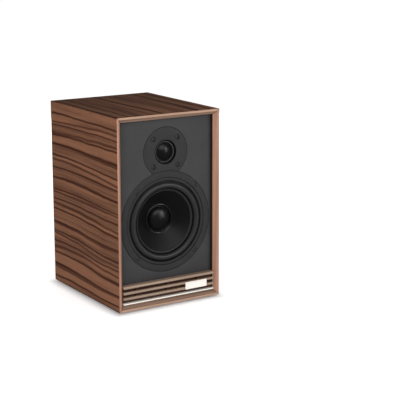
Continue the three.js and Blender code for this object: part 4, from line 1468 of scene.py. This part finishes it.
def build_crossover():
    dress("crossover_board", "circuit_board", bevel=0.2)

    node = "crossover_inductor"
    centre = middle(node)
    height = (high(node).z - low(node).z) / MM
    outer = radius_mm(node, axis=1)
    spool = turned(rounded([
        (9.0, 0.0, 0.6), (outer, 0.0, 2.5), (outer, height, 2.5), (9.0, height, 0.6),
    ]), Vector((0, 0, 0)))
    spool.transform(
        Matrix.Translation((centre.x, centre.y, low(node).z)) @ Matrix.Rotation(math.pi / 2, 4, "X"),
    )
    piece("wound_inductor", spool, "inductor_copper", nodes=[node])

    node = "crossover_capacitor"
    centre = Vector((middle(node).x, 0, middle(node).z))
    first, last, radius = low(node).y / MM, high(node).y / MM, radius_mm(node)
    can = turned(rounded([
        (0, first + 0.6), (radius - 2.2, first + 0.6, 0.4), (radius - 1.2, first, 0.6),
        (radius, first, 1.2), (radius, last, 1.2), (radius - 1.2, last, 0.6),
        (radius - 2.2, last - 0.6, 0.4), (0, last - 0.6),
    ], closed=False), centre, 96)
    piece("film_capacitor", can, "capacitor_film", nodes=[node])

    node = "crossover_resistor"
    block = slab(low(node), high(node), rounding=0.7, steps=4)
    piece("cement_resistor", block, "resistor_ceramic", nodes=[node])


def build_wiring():
    for node in ("input_cable", "woofer_cable", "tweeter_cable"):
        dress(node, "cable_jacket", smooth_levels=1)


def build_wadding():
    """A folded blanket of loose fibre over both sides and the top, lumpy on its inner side."""
    low_corner, high_corner = low("acoustic_wadding"), high("acoustic_wadding")
    thickness = 0.012
    across = (high_corner.x - low_corner.x) / 2 - thickness / 2
    top = high_corner.z - thickness / 2
    bottom = low_corner.z
    fold = 0.014
    route = rounded([
        (-across, bottom), (-across, top, fold), (across, top, fold), (across, bottom),
    ], closed=False, steps=10)
    points = []
    for first, second in zip(route, route[1:]):
        pieces = max(1, round((second - first).length / 0.006))
        points += [first.lerp(second, step / pieces) for step in range(pieces)]
    points.append(route[-1])
    blanket = bmesh.new()
    rows = 20
    grids = {}
    for side in (1, -1):
        for column, point in enumerate(points):
            before = points[max(0, column - 1)]
            after = points[min(len(points) - 1, column + 1)]
            ahead = (after - before).normalized()
            normal = Vector((-ahead.y, ahead.x))
            for row in range(rows + 1):
                y = low_corner.y + (high_corner.y - low_corner.y) * (0.02 + 0.96 * row / rows)
                at_edge = min(row, rows - row, column, len(points) - 1 - column)
                crown = 1 - 0.55 * math.exp(-at_edge / 1.6)
                lump = noise.noise(Vector((point.x, y, point.y)) * 55) * 0.14
                lift = side * thickness / 2 * (0.80 + lump) * crown
                spot = point + normal * lift
                grids[side, column, row] = blanket.verts.new((spot.x, y, spot.y))
    columns = len(points)
    for side in (1, -1):
        for column in range(columns - 1):
            for row in range(rows):
                blanket.faces.new([
                    grids[side, column, row], grids[side, column + 1, row],
                    grids[side, column + 1, row + 1], grids[side, column, row + 1],
                ])
    border = [(column, 0) for column in range(columns)]
    border += [(columns - 1, row) for row in range(1, rows + 1)]
    border += [(column, rows) for column in range(columns - 2, -1, -1)]
    border += [(0, row) for row in range(rows - 1, 0, -1)]
    for first, second in zip(border, [*border[1:], border[0]]):
        blanket.faces.new([
            grids[(1, *first)], grids[(1, *second)], grids[(-1, *second)], grids[(-1, *first)],
        ])
    pad = piece("fibre_wadding", mesh_from(blanket), "wadding_fibre",
                nodes=["acoustic_wadding"], sharp=80)
    smooth = pad.modifiers.new("smooth", "SUBSURF")
    smooth.levels = 1
    smooth.render_levels = 1


# ------------------------------------------------------------------ stage

def area_light(name, place, target, size, power, mirrored=True):
    """A rectangular light that the camera doesn't see. Only a mirrored one shows in reflections."""
    light = bpy.data.lights.new(name, "AREA")
    light.shape = "RECTANGLE"
    light.size, light.size_y = size
    light.energy = power
    thing = bpy.data.objects.new(name, light)
    bpy.context.scene.collection.objects.link(thing)
    thing.location = place
    thing.rotation_mode = "QUATERNION"
    thing.rotation_quaternion = (target - Vector(place)).to_track_quat("-Z", "Y")
    thing.visible_camera = False
    thing.visible_glossy = mirrored


def build_stage(settings):
    scene = bpy.context.scene
    scene.view_settings.view_transform = "Standard"
    floor_mesh = bmesh.new()
    bmesh.ops.create_grid(floor_mesh, x_segments=8, y_segments=8, size=12)
    floor = bpy.data.objects.new("floor", mesh_from(floor_mesh))
    scene.collection.objects.link(floor)
    floor.data.materials.append(finish_named("stage_floor"))
    floor.visible_glossy = False

    world = bpy.data.worlds.new("studio")
    world.use_nodes = True
    scene.world = world
    room = NodeBench(world.node_tree)
    room.tree.nodes.remove(room.tree.nodes["Background"])

    def white(strength):
        return room.add("ShaderNodeBackground", {}, {"Color": (1, 1, 1, 1), "Strength": strength})

    def chosen(ray, otherwise, shown):
        """What is shown to one kind of ray, and otherwise to the others."""
        is_such = room.add("ShaderNodeLightPath", {}, {}, ray)
        return room.add("ShaderNodeMixShader", {}, {0: is_such, 1: otherwise, 2: shown})

    lit = chosen("Is Glossy Ray", white(settings.surroundings), white(settings.reflected_surroundings))
    room.fill(room.tree.nodes["World Output"], {"Surface": chosen("Is Camera Ray", lit, white(1.0))})

    target = OUTER_CENTRE
    area_light("key", (-1.55, -1.35, 0.75), target, (0.9, 0.9), settings.key_power, False)
    area_light("top", (-0.12, -1.62, 1.25), target, (1.5, 1.1), settings.top_power)
    area_light("spot", (1.05, -1.58, 0.60), target, (0.40, 1.10), settings.spot_power)
    area_light("back", (0.60, 1.60, 0.40), target, (1.2, 0.9), settings.back_power, False)

    camera_data = bpy.data.cameras.new("camera")
    camera_data.lens = settings.lens
    camera_data.sensor_width = 36
    camera = bpy.data.objects.new("camera", camera_data)
    scene.collection.objects.link(camera)
    camera.location = settings.camera_place
    camera.rotation_euler = (math.pi / 2 - settings.tilt, 0, -settings.heading)
    scene.camera = camera


# ------------------------------------------------------------------ operators and panel

class SPEAKER_OT_stage(bpy.types.Operator):
    """Set up the floor, the lights and the camera"""

    bl_idname = "speaker.stage"
    bl_label = "Stage"

    def execute(self, context):
        build_stage(context.scene.speaker_stage)
        return {"FINISHED"}


class SPEAKER_OT_cabinet(bpy.types.Operator):
    """Build the four mitred walls"""

    bl_idname = "speaker.cabinet"
    bl_label = "Cabinet"

    def execute(self, context):
        build_cabinet(context.scene.speaker_sizes)
        return {"FINISHED"}


class SPEAKER_OT_baffle(bpy.types.Operator):
    """Build the baffle and the rear panel"""

    bl_idname = "speaker.baffle"
    bl_label = "Baffle and Rear Panel"

    def execute(self, context):
        build_baffle()
        build_rear_panel()
        return {"FINISHED"}


class SPEAKER_OT_foot_rail(bpy.types.Operator):
    """Build the slatted rail at the foot of the front, with its blank plate"""

    bl_idname = "speaker.foot_rail"
    bl_label = "Foot Rail"

    def execute(self, context):
        build_foot_rail()
        build_badge()
        return {"FINISHED"}


class SPEAKER_OT_feet(bpy.types.Operator):
    """Build the four rubber feet"""

    bl_idname = "speaker.feet"
    bl_label = "Feet"

    def execute(self, context):
        build_feet()
        return {"FINISHED"}


class SPEAKER_OT_woofer(bpy.types.Operator):
    """Build the woofer, from its frame to its motor"""

    bl_idname = "speaker.woofer"
    bl_label = "Woofer"

    def execute(self, context):
        sizes = context.scene.speaker_sizes
        build_woofer_frame()
        build_woofer_cone()
        build_woofer_surround(sizes)
        build_woofer_spider(sizes)
        build_woofer_motor()
        return {"FINISHED"}


class SPEAKER_OT_tweeter(bpy.types.Operator):
    """Build the tweeter, from its face plate to its rear chamber"""

    bl_idname = "speaker.tweeter"
    bl_label = "Tweeter"

    def execute(self, context):
        build_tweeter_face()
        build_tweeter_dome()
        build_tweeter_motor()
        return {"FINISHED"}


class SPEAKER_OT_driver_screws(bpy.types.Operator):
    """Build the socket screws of both drivers"""

    bl_idname = "speaker.driver_screws"
    bl_label = "Driver Screws"

    def execute(self, context):
        for driver in SCREWS:
            build_driver_screws(driver)
        return {"FINISHED"}


class SPEAKER_OT_port(bpy.types.Operator):
    """Build the flared bass port"""

    bl_idname = "speaker.port"
    bl_label = "Port"

    def execute(self, context):
        build_port()
        return {"FINISHED"}


class SPEAKER_OT_terminals(bpy.types.Operator):
    """Build the terminal cup, its screws and the binding posts"""

    bl_idname = "speaker.terminals"
    bl_label = "Terminals"

    def execute(self, context):
        build_terminal_cup()
        build_binding_posts(context.scene.speaker_sizes)
        return {"FINISHED"}


class SPEAKER_OT_inside(bpy.types.Operator):
    """Build the crossover, the cables and the wadding"""

    bl_idname = "speaker.inside"
    bl_label = "Crossover, Cables and Wadding"

    def execute(self, context):
        build_crossover()
        build_wiring()
        build_wadding()
        return {"FINISHED"}


OPERATORS = (
    SPEAKER_OT_stage, SPEAKER_OT_cabinet, SPEAKER_OT_baffle, SPEAKER_OT_foot_rail, SPEAKER_OT_feet,
    SPEAKER_OT_woofer, SPEAKER_OT_tweeter, SPEAKER_OT_driver_screws, SPEAKER_OT_port,
    SPEAKER_OT_terminals, SPEAKER_OT_inside,
)


class SPEAKER_PT_panel(bpy.types.Panel):
    """Lists the speaker's pieces and what can be changed"""

    bl_idname = "SPEAKER_PT_panel"
    bl_label = "Bookshelf Speaker"
    bl_space_type = "VIEW_3D"
    bl_region_type = "UI"
    bl_category = "Speaker"

    def draw(self, context):
        for group in (context.scene.speaker_sizes, context.scene.speaker_colours,
                      context.scene.speaker_stage):
            box = self.layout.box()
            for name in group.__annotations__:
                box.prop(group, name)
        for operator in OPERATORS:
            self.layout.operator(operator.bl_idname)


GROUPS = {
    "speaker_sizes": SpeakerSizes,
    "speaker_colours": SpeakerColours,
    "speaker_stage": SpeakerStage,
}


def register():
    for group in GROUPS.values():
        bpy.utils.register_class(group)
    for operator in OPERATORS:
        bpy.utils.register_class(operator)
    bpy.utils.register_class(SPEAKER_PT_panel)
    for name, group in GROUPS.items():
        setattr(bpy.types.Scene, name, bpy.props.PointerProperty(type=group))


def unregister():
    for name in GROUPS:
        delattr(bpy.types.Scene, name)
    bpy.utils.unregister_class(SPEAKER_PT_panel)
    for kind in (*OPERATORS, *GROUPS.values()):
        bpy.utils.unregister_class(kind)


def main():
    register()
    for operator in OPERATORS:
        group, name = operator.bl_idname.split(".")
        getattr(getattr(bpy.ops, group), name)()


if __name__ == "__main__":
    main()
